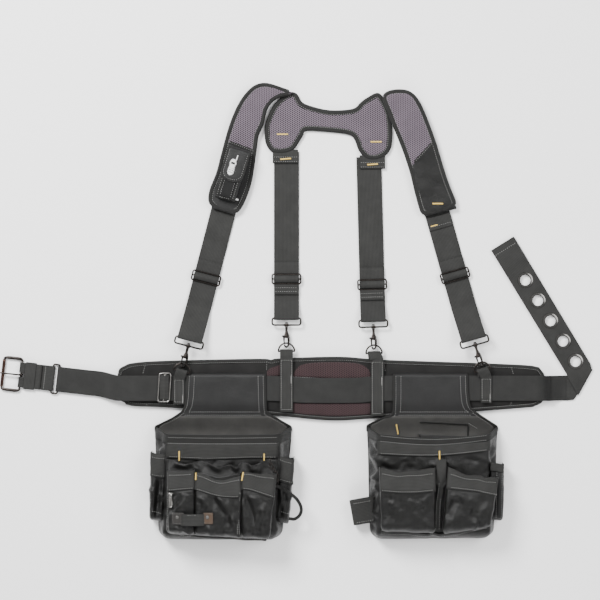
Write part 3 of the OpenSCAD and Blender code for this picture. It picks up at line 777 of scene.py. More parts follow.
# ---- buckle ----
def buckle():
    ring_bars = 13  # from one bar of the joining ring to the other
    corners = [left_point(d, a) for d, a in ((0, -29), (ring_bars, -29), (ring_bars, 29), (0, 29))]
    ring = closed_wire("joining_ring_wire", corners, 1.8, 4, GUNMETAL)
    ride(ring, "joining_ring", "joining_ring", slot="gunmetal")
    far = 76
    near_arc = [left_point(ring_bars - 0.5 - 2.6 * math.cos(a), 0, 3.0 * math.sin(a))
                for a in np.linspace(1.3, -1.3, 9)]
    far_arc = [left_point(far + 0.3 + 2.8 * math.cos(a), 0, 3.0 * math.sin(a))
               for a in np.linspace(-1.3, 1.3, 9)]
    low = [left_point(d, 0, -LAYER) for d in (ring_bars + 6, far - 6)]
    top = [left_point(d, 0, LAYER) for d in (far - 6, ring_bars + 22)]
    start = [left_point(d, 0, LAYER) for d in (ring_bars + 20, ring_bars + 6)]
    path = np.vstack([smooth_path(start, 5), near_arc, smooth_path(low, 5)])
    for side, lean in (("upper", 1), ("lower", -1)):
        end = np.vstack([smooth_path(low, 5)[-1:], far_arc, smooth_path(top, 5)[:2]])
        half = strap("buckle_strap_fold_" + side, end + FOLD_AXIS * lean * 14.6, FOLD_AXIS, 20.6)
        ride(half, "buckle_strap", slot="webbing")
    ride(strap("buckle_strap_web", path, FOLD_AXIS), "buckle_strap", "buckle_strap", slot="webbing")
    ride(strap("buckle_strap_top", smooth_path(top, 5), FOLD_AXIS), "buckle_strap", slot="webbing")
    seam = left_point(ring_bars + 15, 0, LAYER + 1.05)
    rows = stitch_row(seam - FOLD_AXIS * 22, seam + FOLD_AXIS * 22)
    segments("buckle_strap_stitches", rows, 0.5, GREY_THREAD, "buckle_strap")
    hinge = np.asarray(JOINTS["buckle_frame_fold"]["pos_m"]) / MM
    roller = np.asarray(JOINTS["buckle_roller_spin"]["pos_m"]) / MM
    for side in (-1, 1):
        leg = [beside(hinge, on, side * off) for on, off in ((0, 26), (0.6, 29.6), (5, 31.8))]
        leg.append((hinge + roller) / 2 + FOLD_AXIS * side * 32)
        leg += [beside(roller, on, side * off) for on, off in ((-5, 31.8), (-0.6, 30.2), (0, 28.4))]
        piece = tube(f"buckle_leg_{'low' if side < 0 else 'high'}", smooth_path(leg, 1.5),
                     [1.9, 2.8, 3.1, 3.1, 3.1, 3.1, 2.8, 1.9], GUNMETAL, 0.8, across=(0, 0, 1), sides=14)
        ride(piece, "buckle_frame", slot="gunmetal")
    for place, where in (("bar", hinge), ("axle", roller)):
        axle = bar("buckle_" + place, where - FOLD_AXIS * 31, where + FOLD_AXIS * 31, 1.8, GUNMETAL)
        ride(axle, "buckle_frame", "buckle_frame", slot="gunmetal")
    path = np.array([roller + FOLD_AXIS * s for s in np.linspace(-27.5, 27.5, 16)])
    turned = tube("roller_tube", path, [3.0, 3.4, 3.3, 3.3, 3.3, 3.4, 3.0], COPPER, sides=20)
    ride(turned, "buckle_roller", "buckle_roller", slot="copper_metal")
    tip = [beside(hinge, on, 0, up) for on, up in ((-1, 2.6), (4, 3.6), (14, 5.2))]
    tip += [beside(roller, on, 0, up) for on, up in ((0, 5.6), (7, 5))]
    prong = tube("prong_bar", smooth_path(tip, 2), [2.0, 2.3, 2.2, 2.1, 1.6], GUNMETAL, 0.75, FOLD_AXIS, 14)
    ride(prong, "buckle_prong", "buckle_prong", slot="gunmetal")
    eye = tube("prong_eye", straight_path([hinge - FOLD_AXIS * 2.3, hinge + FOLD_AXIS * 2.3], 1),
               [3.6, 3.9, 3.9, 3.6], GUNMETAL, sides=18)
    ride(eye, "buckle_prong", slot="gunmetal")


def keeper():
    """A band of webbing sewn into a loop round the strap."""
    middle = left_point(57.5)
    half_w, z_low, z_high = 26.4, 1.0 - BAR_Z, 8.1 - BAR_Z
    corners = [middle + FOLD_AXIS * a + np.array([0, 0, z]) for a, z in
               ((-half_w, z_low), (half_w, z_low), (half_w, z_high), (-half_w, z_high))]
    loop = rounded_corners(corners, 2.5)
    loop = straight_path(closed(loop), 4)
    band = strap("keeper_band", loop, TO_BUCKLE, 21, 1.4)
    ride(band, "strap_keeper", "strap_keeper", slot="webbing")


def belt_slider():
    low, high = SLIDER_BOX
    x, y, z = (low + high) / 2 + np.array([0, 0, 2.9])
    corners = [(x + a * 11.4, y + b * 28.2, z) for a, b in ((-1, -1), (1, -1), (1, 1), (-1, 1))]
    tilted = [np.array(c) + np.array([(c[1] - y) * 0.06, 0, 0]) for c in corners]
    ring = closed_wire("belt_slider_wire", tilted, 1.5, 5, NICKEL)
    ride(ring, "belt_slider", "belt_slider", slot="nickel")
    ride(bar("belt_slider_bar", (x - 1.6, y - 28, z), (x + 1.6, y + 28, z), 1.3, NICKEL), "belt_slider",
         slot="nickel")
    hump = [(x + a, y, z + u) for a, u in ((-9, -0.5), (-5, 0.8), (-2, 2.4), (0, 2.8), (2, 2.4), (5, 0.8),
                                           (9, -0.5))]
    fold = strap("belt_slider_fold", smooth_path(hump, 1.5), (0, 1, 0), 48.5, 1.8)
    ride(fold, "belt_slider", slot="webbing")


# ---- padded cloth ----
def cad_outline(node):
    """The outline of an upright CAD solid, from the top edges of its side walls, in order."""
    data = NODES[node].data
    points = {tuple(np.round(np.array(v.co) / MM, 2)) for v in data.vertices}
    top = max(p[2] for p in points)
    links = {}
    for face in data.polygons:
        if abs(face.normal.z) > 0.5:
            continue
        on_top = sorted({tuple(np.round(np.array(data.vertices[v].co) / MM, 2)) for v in face.vertices
                         if abs(data.vertices[v].co.z / MM - top) < 0.05})
        if len(on_top) == 2:
            links.setdefault(on_top[0], set()).add(on_top[1])
            links.setdefault(on_top[1], set()).add(on_top[0])
    start = min(links)
    loop, previous = [start], None
    while True:
        nexts = [q for q in sorted(links[loop[-1]]) if q != previous]
        if not nexts or nexts[0] == start:
            break
        previous = loop[-1]
        loop.append(nexts[0])
    loop = np.array(loop)[:, :2]
    area = np.sum(loop[:, 0] * np.roll(loop[:, 1], -1) - loop[:, 1] * np.roll(loop[:, 0], -1))
    return loop if area > 0 else loop[::-1]


def smooth_loop(loop, step=5.0):
    """A closed curve through the points of a loop."""
    p = np.vstack([loop[-2:], loop, loop[:3]])
    path = smooth_path(p, step)
    first = int(np.argmin(np.linalg.norm(path - loop[0], axis=1)))
    after = first + 10
    last = after + int(np.argmin(np.linalg.norm(path[after:] - loop[0], axis=1)))
    return path[first:last]


def line_distance(points, line):
    """How far each point is from an open line, in plan."""
    best = np.full(len(points), 1e9)
    for a, b in zip(line, line[1:]):
        d = b - a
        t = np.clip(((points - a) @ d) / max(d @ d, 1e-9), 0, 1)
        best = np.minimum(best, np.linalg.norm(points - a - t[:, None] * d, axis=1))
    return best


def edge_distance(points, loop):
    """How far each point is from a closed outline, in plan."""
    return line_distance(points, closed(loop))


def coords(piece):
    out = np.empty(len(piece.data.vertices) * 3)
    piece.data.vertices.foreach_get("co", out)
    return out.reshape(-1, 3) / MM


def set_coords(piece, points):
    piece.data.vertices.foreach_set("co", (np.asarray(points) * MM).ravel())
    piece.data.update()


def baked(piece):
    """Applies a piece's modifiers to its mesh."""
    depsgraph = bpy.context.evaluated_depsgraph_get()
    data = bpy.data.meshes.new_from_object(piece.evaluated_get(depsgraph), depsgraph=depsgraph)
    piece.modifiers.clear()
    old = piece.data
    piece.data = data
    bpy.data.meshes.remove(old)


def remeshed(piece, voxel):
    remesh = piece.modifiers.new("remesh", "REMESH")
    remesh.mode = "VOXEL"
    remesh.voxel_size = voxel * MM
    baked(piece)


def inflate(piece, pinned, cap, pressure, frames=20):
    """Blows a closed cloth up with its pinned points held, and applies the result."""
    before = coords(piece)
    group = piece.vertex_groups.new(name="pinned")
    group.add([int(i) for i in np.nonzero(pinned)[0]], 1.0, "REPLACE")
    cloth = piece.modifiers.new("cloth", "CLOTH")
    cloth.settings.use_pressure = True
    cloth.settings.uniform_pressure_force = pressure
    cloth.settings.vertex_group_mass = "pinned"
    cloth.settings.tension_stiffness = 12
    cloth.settings.compression_stiffness = 8
    cloth.settings.bending_stiffness = 0.4
    cloth.settings.effector_weights.gravity = 0
    scene = bpy.context.scene
    for number in range(1, frames + 1):
        scene.frame_set(number)
    baked(piece)
    scene.frame_set(1)
    move = coords(piece) - before
    size = np.linalg.norm(move, axis=1, keepdims=True)
    return before + move * np.minimum(1, cap / np.maximum(size, 1e-6))


def subdivided(piece):
    piece.modifiers.new("subdivision", "SUBSURF").levels = 1
    baked(piece)
    piece.data.polygons.foreach_set("use_smooth", [True] * len(piece.data.polygons))


def padded_slab(name, loop, low, high, material, crown=2.5, voxel=5.0):
    """A stuffed cloth shape over an outline: pinched at its edge, crowned in the middle."""
    n = len(loop)
    points = [(*p, low + 1.5) for p in loop] + [(*p, high - crown) for p in loop]
    faces = [tuple(range(n))[::-1], tuple(range(n, 2 * n))]
    faces += [(i, (i + 1) % n, n + (i + 1) % n, n + i) for i in range(n)]
    piece = mesh_object(name, points, faces, material)
    remeshed(piece, voxel)
    p = coords(piece)
    distance = edge_distance(p[:, :2], loop)
    p = inflate(piece, distance < voxel * 1.2, crown * 1.2, 4.0)
    distance = edge_distance(p[:, :2], loop)
    middle = (low + high) / 2
    swell = np.clip(distance / 26, 0, 1) ** 0.5
    top = p[:, 2] > middle
    p[top, 2] = np.minimum(p[top, 2] + 0.5 * crown * swell[top], high)
    p[~top, 2] = np.maximum(p[~top, 2] - 1.2 * swell[~top], low)
    set_coords(piece, p)
    return piece


def press_lines(piece, lines, depth, width):
    """Sinks the upper surface along sewn lines."""
    p = coords(piece)
    normal_up = np.array([v.normal.z for v in piece.data.vertices]) > 0.2
    for line in lines:
        away = line_distance(p[:, :2], np.asarray(line, float)[:, :2])
        p[:, 2] -= np.where(normal_up, depth * np.exp(-(away / width) ** 2), 0)
    set_coords(piece, p)


def rumple(piece, size, scale, seed):
    """Moves the upper surface up and down by smooth noise."""
    p = coords(piece)
    lift = np.array([noise.noise(Vector((q[0] / scale + seed, q[1] / scale, q[2] / scale))) for q in p])
    up = np.array([v.normal.z for v in piece.data.vertices])
    p[:, 2] += size * lift * np.clip(up, 0, 1)
    set_coords(piece, p)


def finish_slab(piece, size, scale, seed, top):
    """Rumples a slab, keeps it between the floor and its top, and smooths it."""
    rumple(piece, size, scale, seed)
    points = coords(piece)
    points[:, 2] = np.clip(points[:, 2], 0.1, top)
    set_coords(piece, points)
    subdivided(piece)


class Drape:
    """Lays points on the upper surface of finished pieces."""

    def __init__(self, *pieces):
        self.trees = []
        for piece in pieces:
            points = [Vector(v.co) / MM for v in piece.data.vertices]
            self.trees.append(BVHTree.FromPolygons(points, [tuple(p.vertices) for p in piece.data.polygons]))

    def height(self, x, y, default=0.0):
        found = [tree.ray_cast(Vector((x, y, 200)), Vector((0, 0, -1)))[0] for tree in self.trees]
        return max([hit.z for hit in found if hit is not None] or [default])

    def lay(self, points, lift=0.3, default=0.0):
        heights = np.array([self.height(p[0], p[1], default) for p in points])
        return np.column_stack([np.asarray(points, float)[:, :2], heights + lift])


def level(path, amount=6):
    """Evens out the heights along a laid path."""
    out = path.copy()
    for _ in range(amount):
        out[1:-1, 2] = (out[:-2, 2] + out[1:-1, 2] * 2 + out[2:, 2]) / 4
    return out


def offset_loop(loop, inward):
    """A closed counter-clockwise outline moved inwards."""
    along = unit(np.roll(loop, -1, 0) - np.roll(loop, 1, 0))[:, :2]
    out = loop.copy()
    out[:, :2] += np.stack([-along[:, 1], along[:, 0]], 1) * inward
    return out


def binding(name, loop, body, width, high, stitch_in):
    """Folded tape round an edge, with a row of stitches through it."""
    piece = sweep(name, closed(loop), (0, 0, 1), round_profile(high, width, 12), TAPE, cap=False)
    ride(piece, body, slot="webbing")
    row = offset_loop(loop, stitch_in)
    row[:, 2] += high / 2 * math.sqrt(max(0.05, 1 - (2 * stitch_in / width) ** 2)) + 0.2
    segments(name + "_stitches", stitch_pairs(closed(row), 2.6, 1.5), 0.42, GREY_THREAD, body)


def draped_patch(name, xs, lower, upper, drape, lift, material, body, slot, rows=10, thick=1.0):
    """A panel of cloth laid on a pad, between two edges given as functions of x."""
    grid = np.array([[(x, lower(x) + (upper(x) - lower(x)) * t) for x in xs]
                     for t in np.linspace(0, 1, rows)])
    flat = grid.reshape(-1, 2)
    laid = drape.lay(flat, lift, PAD_TOP - 1).reshape(rows, len(xs), 3)
    return shell_grid(name, laid, thick, material, body, slot)


def shell_grid(name, grid, thick, material, body, slot):
    """A closed thin sheet from a grid of points; its underside lies thick below."""
    rows, cols = grid.shape[:2]
    du, dv = np.gradient(grid, axis=1), np.gradient(grid, axis=0)
    normal = unit(np.cross(du, dv))
    under = grid - normal * thick
    points = np.vstack([grid.reshape(-1, 3), under.reshape(-1, 3)])
    n = rows * cols
    index = np.arange(n).reshape(rows, cols)
    faces = []
    for i in range(rows - 1):
        for j in range(cols - 1):
            a, b, c, d = index[i, j], index[i, j + 1], index[i + 1, j + 1], index[i + 1, j]
            faces += [(a, b, c, d), (d + n, c + n, b + n, a + n)]
    rim = list(index[0]) + list(index[1:, -1]) + list(index[-1, -2::-1]) + list(index[-2:0:-1, 0])
    for a, b in zip(rim, rim[1:] + rim[:1]):
        faces.append((b, a, a + n, b + n))
    along = np.concatenate([np.zeros((1, cols)), np.cumsum(np.linalg.norm(np.diff(grid, axis=0), axis=2), 0)])
    across = np.concatenate([np.zeros((rows, 1)),
                             np.cumsum(np.linalg.norm(np.diff(grid, axis=1), axis=2), 1)], 1)
    cloth = np.stack([along, across], -1).reshape(-1, 2)
    piece = mesh_object(name, points, faces, material, True, np.vstack([cloth, cloth]))
    return ride(piece, body, slot=slot)


def curve_of(points):
    """A function that gives y for an x along given points, smoothed."""
    path = smooth_path(np.array(points, float), 2.0)
    return lambda x: float(np.interp(x, path[:, 0], path[:, 1]))


# ---- belt pad ----
def belt_pad():
    loop = smooth_loop(cad_outline("belt_pad"), 6.0)
    body = padded_slab("belt_pad_cloth", offset_loop(np.column_stack([loop, loop[:, 0] * 0]), 3)[:, :2], 0.2,
                       PAD_TOP - 0.2, BELT_CLOTH, 2.2, 5.0)
    seams = [[(-58, -100), (-59, -121)], [(176, -102), (178, -121)], [(-300, -104), (-306, -128)],
             [(430, -112), (434, -128)], [(430, -182), (426, -192)], [(-300, -184), (-296, -190)]]
    press_lines(body, seams, 1.8, 4)
    finish_slab(body, 1.2, 30, 3, PAD_TOP)
    ride(body, "harness", "belt_pad", slot="belt_cloth")
    rim = np.column_stack([loop, np.full(len(loop), 5.6)])
    rim = offset_loop(rim, 3.4)
    binding("belt_pad_binding", rim, "harness", 8.5, 10.6, 2.6)
    drape = Drape(body)
    patches = {"upper": (np.linspace(-6, 150, 40),
                         curve_of([(-6, -131), (40, -133), (90, -136), (150, -133)]),
                         curve_of([(-6, -126), (4, -112), (20, -105), (60, -102), (110, -103), (134, -108),
                                   (146, -118), (150, -127)])),
               "upper_side": (np.linspace(-58, -32, 9), curve_of([(-58, -130), (-32, -129)]),
                              curve_of([(-58, -120), (-50, -114), (-32, -107)])),
               "lower": (np.linspace(-6, 150, 40),
                         curve_of([(-6, -204), (40, -208), (90, -210), (150, -206)]),
                         curve_of([(-6, -184), (150, -184)]))}
    for name, (xs, low, high) in patches.items():
        draped_patch("lumbar_mesh_" + name, xs, low, high, drape, 0.9, LUMBAR_MESH, "harness", "mesh")
    rows = stitch_pairs(drape.lay(straight_path(np.array([(-6, -131), (50, -134), (100, -137)], float)),
                                  2.2, PAD_TOP))
    for line in seams:
        rows += stitch_pairs(drape.lay(straight_path(np.array(line, float)), 0.2, PAD_TOP))
    segments("belt_pad_seams", rows, 0.45, GREY_THREAD, "harness")


# ---- yoke and shoulder pads ----
YOKE_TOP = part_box("yoke")[1][2] / MM


def yoke():
    loop = smooth_loop(cad_outline("yoke"), 4.0)
    inner = offset_loop(np.column_stack([loop, loop[:, 0] * 0]), 2.5)[:, :2]
    body = padded_slab("yoke_mesh", inner, 0.2, YOKE_TOP - 0.1, MESH, 2.0, 4.0)
    tack_rows = [[(-56, 353), (2, 352)], [(118, 338), (186, 337)]]
    press_lines(body, tack_rows, 1.6, 3.5)
    finish_slab(body, 0.9, 24, 8, YOKE_TOP)
    ride(body, "harness", "yoke", slot="mesh")
    rim = offset_loop(np.column_stack([loop, np.full(len(loop), 4.3)]), 4.2)
    binding("yoke_binding", rim, "harness", 11.0, 8.6, 3.4)
    drape = Drape(body)
    rows, tacks = [], []
    for (a, b), middle in zip(tack_rows, (-27, 160)):
        path = drape.lay(straight_path(np.array([a, b], float)), 0.3)
        rows += stitch_pairs(path)
        y = a[1]
        z = drape.height(middle, y) + 0.6
        tacks += bartack_pairs((middle - 11, y, z), (middle + 11, y, z), 3.4)
    segments("yoke_stitches", rows, 0.4, DARK_THREAD, "harness")
    for name, x, y_seam in (("left", -21, 300), ("right", 152.5, 289)):
        half = 25.5
        tab = [(x, y_seam - 5, 5.6), (x, y_seam, 6.1), (x, y_seam + 10, 6.2), (x, y_seam + 22, 5.2)]
        piece = strap(f"yoke_tab_{name}", smooth_path(np.array(tab), 3), (1, 0, 0), 2 * half, 1.8)
        ride(piece, "harness", slot="webbing")
        rows = []
        for dy in (-1.5, 7.5):
            rows += stitch_pairs([(x - half + 2, y_seam + dy, 7.3), (x + half - 2, y_seam + dy, 7.3)])
        segments(f"yoke_tab_{name}_stitches", rows, 0.42, GREY_THREAD, "harness")
        tacks += bartack_pairs((x - 10, y_seam + 3, 7.5), (x + 11, y_seam + 4.5, 7.5), 3.4)
    segments("yoke_bartacks", tacks, 0.5, YELLOW_THREAD, "harness")


# stations along each shoulder pad: outer edge, inner edge, height of the underside
OVER_YOKE, OVER_STRAP = 8.4, 5.4
PAD_STATIONS = {
    "left": [((-4, 436), (-14, 430), OVER_YOKE), ((-30, 445), (-30, 428), OVER_YOKE),
             ((-54, 453), (-44, 422), OVER_YOKE), ((-68, 454), (-50, 415), OVER_YOKE),
             ((-84, 448), (-57, 406), OVER_YOKE), ((-102, 430), (-62, 392), OVER_YOKE),
             ((-118, 404), (-66, 371), 8.0), ((-133, 366), (-76, 350), 6.6),
             ((-147, 316), (-80, 320), OVER_STRAP), ((-158, 274), (-88, 266), OVER_STRAP),
             ((-171, 242), (-97, 234), OVER_STRAP), ((-174, 220), (-110, 206), OVER_STRAP),
             ((-168, 205), (-123, 191), OVER_STRAP)],
    "right": [((174, 434), (172, 427), OVER_YOKE), ((192, 440), (178, 410), OVER_YOKE),
              ((206, 441), (183, 400), OVER_YOKE), ((224, 439), (187, 388), OVER_YOKE),
              ((238, 428), (190, 380), OVER_YOKE), ((250, 408), (194, 370), OVER_YOKE),
              ((265, 372), (204, 346), OVER_YOKE), ((280, 330), (218, 310), 6.6),
              ((293, 286), (230, 272), OVER_STRAP), ((306, 248), (238, 238), OVER_STRAP),
              ((319, 216), (248, 202), OVER_STRAP), ((323, 204), (255, 187), OVER_STRAP)],
}
SHOULDER_T = 9.0


def shoulder_pad(side, cut, lower_cloth):
    """A mesh pad whose lower part is plain cloth beyond a slanting cut, given by two points."""
    outer = smooth_path(np.array([(*o, z) for o, i, z in PAD_STATIONS[side]]), 5)
    count = len(outer)
    inner = smooth_path(np.array([(*i, z) for o, i, z in PAD_STATIONS[side]]), 4)
    where = np.linspace(0, 1, count)
    inner = np.array([np.interp(where, np.linspace(0, 1, len(inner)), inner[:, c]) for c in range(3)]).T
    across = np.concatenate([[-1], np.linspace(-0.92, 0.92, 9), [1]])
    crown = np.array([0.55] + [0.78 + 0.22 * math.cos(t * math.pi / 2)
                               for t in np.linspace(-0.92, 0.92, 9)] + [0.55])
    middle = (outer + inner) / 2
    top, low = [], []
    for t, c in zip(across, crown):
        edge = middle + (inner - outer) / 2 * t * 0.955
        lift = SHOULDER_T * (0.5 + 0.5 * c)
        top.append(edge + (0, 0, lift - 0.4))
        low.append(edge + (0, 0, 0.4 + 1.2 * (1 - c)))
    grid = np.array(top + low[::-1])
    points = grid.transpose(1, 0, 2).reshape(-1, 3)
    faces = ring_faces(count, len(grid))
    if side == "left":
        faces = [f[::-1] for f in faces]
    name = f"shoulder_pad_{side}"
    piece = mesh_object(name, points, faces, MESH)
    remeshed(piece, 4.0)
    rim = np.vstack([outer, inner[::-1]])
    if side == "right":
        rim = rim[::-1]
    p = coords(piece)
    start = p.copy()
    distance = edge_distance(p[:, :2], rim[:, :2])
    p = inflate(piece, distance < 5, 2.2, 3.0)
    p[:, 2] = np.clip(p[:, 2], start[:, 2] - 0.2, start[:, 2] + 1.6)
    set_coords(piece, p)
    rumple(piece, 1.4 if side == "right" else 0.8, 22, 5)
    subdivided(piece)
    piece.data.materials.append(lower_cloth)
    a, b = np.array(cut[0], float), np.array(cut[1], float)
    d = b - a
    for face in piece.data.polygons:
        c = np.array(face.center[:2]) / MM - a
        if d[0] * c[1] - d[1] * c[0] > 0 if side == "right" else d[0] * c[1] - d[1] * c[0] < 0:
            face.material_index = 1
    ride(piece, "harness", f"{side}_shoulder_pad", slot="mesh")
    loop = smooth_loop_3d(rim)
    loop[:, 2] += SHOULDER_T / 2 - 0.2
    binding(name + "_binding", offset_loop(loop, 3.6), "harness", 10.6, SHOULDER_T - 0.2, 3.4)
    drape = Drape(piece)
    seam = drape.lay(straight_path(np.array([a + d * 0.03, b - d * 0.03])), 0.2, 10)
    tape = strap(name + "_seam", level(seam), (-d[1], d[0], 0), 6, 1.2, material=TAPE)
    ride(tape, "harness", slot="webbing")
    segments(name + "_seam_stitches", stitch_pairs(level(seam) + (0, 0, 0.9)), 0.42, GREY_THREAD, "harness")
    return drape


def smooth_loop_3d(rim):
    """Rounds a closed rim of 3D points a little."""
    out = rim.copy()
    for _ in range(3):
        out = (np.roll(out, 1, 0) + 2 * out + np.roll(out, -1, 0)) / 4
    return out


def shoulder_pads():
    shoulder_pad("left", [(-142, 340), (-82, 318)], HEAVY_NYLON)
    right_drape = shoulder_pad("right", [(272, 335), (236, 296)], SHINY_NYLON)
    z = right_drape.height(285, 214, 14) + 0.8
    tacks = bartack_pairs((272, 214, z), (293, 214, z), 3.4)
    line = STRAPS["front_right"]
    fold_at = 232
    z_fold = 3.0 + 1.2 - line.origin[2]
    fold = [(fold_at - 4, z_fold), (fold_at, z_fold + 0.8), (fold_at + 12, z_fold + 1.2),
            (fold_at + 22, z_fold + 1.2)]
    piece = strap("front_right_strap_fold", smooth_path(line.path(fold), 2), line.across, 49, 1.8)
    ride(piece, "harness", slot="webbing")
    seam = [line.at(x, fold_at + 3, z_fold + 2.2) for x in (-22, 22)]
    segments("front_right_strap_fold_stitches", stitch_pairs(straight_path(seam)), 0.42, GREY_THREAD,
             "harness")
    tacks += bartack_pairs(line.at(-20, fold_at + 5, z_fold + 2.4), line.at(-6, fold_at + 5, z_fold + 2.4),
                           2.6)
    segments("shoulder_bartacks", tacks, 0.5, YELLOW_THREAD, "harness")


# ---- pouches ----
def smoothstep(a, b, x):
    t = np.clip((np.asarray(x, float) - a) / (b - a), 0, 1)
    return t * t * (3 - 2 * t)


def ripple(points, scale, seed):
    return np.array([noise.noise(Vector((p[0] / scale + seed * 7.3, p[1] / scale, seed * 3.1)))
                     for p in points])


def creases(seed, low, high, count, height=3.0, lean=0.5):
    """Folds scattered over a region, mostly running up and down it."""
    pick = random.Random(seed)
    out = []
    for _ in range(count):
        x, y = pick.uniform(low[0], high[0]), pick.uniform(low[1], high[1])
        angle = math.radians(90) + pick.gauss(0, lean)
        reach = pick.uniform(14, 38) / 2
        dx, dy = math.cos(angle) * reach, math.sin(angle) * reach
        out.append((x - dx, y - dy, x + dx, y + dy, pick.uniform(2.8, 6), pick.choice((-1, 1)) * height *
                    pick.uniform(0.4, 1)))
    return out


class Fabric:
    """Given folds and a little unevenness over a region of cloth, in plan.

    A fold is x, y of both ends, width and height. calm areas, as y and x ranges, stay flat, and
    nothing stands out within the reach of a quiet point."""

    def __init__(self, folds=(), calm=(), uneven=0.6, seed=1, quiet=()):
        self.folds, self.calm, self.uneven, self.seed, self.quiet = folds, calm, uneven, seed, quiet

    def lift(self, xy):
        out = self.uneven * (ripple(xy, 26, self.seed) + 0.5 * ripple(xy, 11, self.seed + 3))
        for x0, y0, x1, y1, width, height in self.folds:
            a, d = np.array([x0, y0]), np.array([x1 - x0, y1 - y0], float)
            t = ((xy - a) @ d) / (d @ d)
            off = np.linalg.norm(xy - a - np.clip(t, 0, 1)[:, None] * d, axis=1)
            fade = np.where((t > -0.2) & (t < 1.2), np.cos(np.clip(t - 0.5, -0.7, 0.7) / 0.7 * math.pi / 2),
                            0)
            out += height * np.exp(-(off / width) ** 2) * np.clip(fade * 1.6, 0, 1)
        for y0, y1, x0, x1 in self.calm:
            inside = smoothstep(x0 - 6, x0, xy[:, 0]) * (1 - smoothstep(x1, x1 + 6, xy[:, 0]))
            out *= 1 - smoothstep(y0 - 6, y0, xy[:, 1]) * (1 - smoothstep(y1, y1 + 6, xy[:, 1])) * inside
        for x, y, reach in self.quiet:
            out = np.where(out > 0,
                           out * smoothstep(reach * 0.7, reach * 1.3, np.hypot(xy[:, 0] - x, xy[:, 1] - y)),
                           out)
        return out


def placed(points, place, up=0.0):
    """Points of a piece's own frame put in place, which is its x, y and turn in degrees."""
    p = np.atleast_2d(np.array(points, float))
    cx, cy, turn = place
    c, s = math.cos(math.radians(turn)), math.sin(math.radians(turn))
    return np.column_stack([cx + c * p[:, 0] - s * p[:, 1], cy + s * p[:, 0] + c * p[:, 1], up + p[:, 2]])


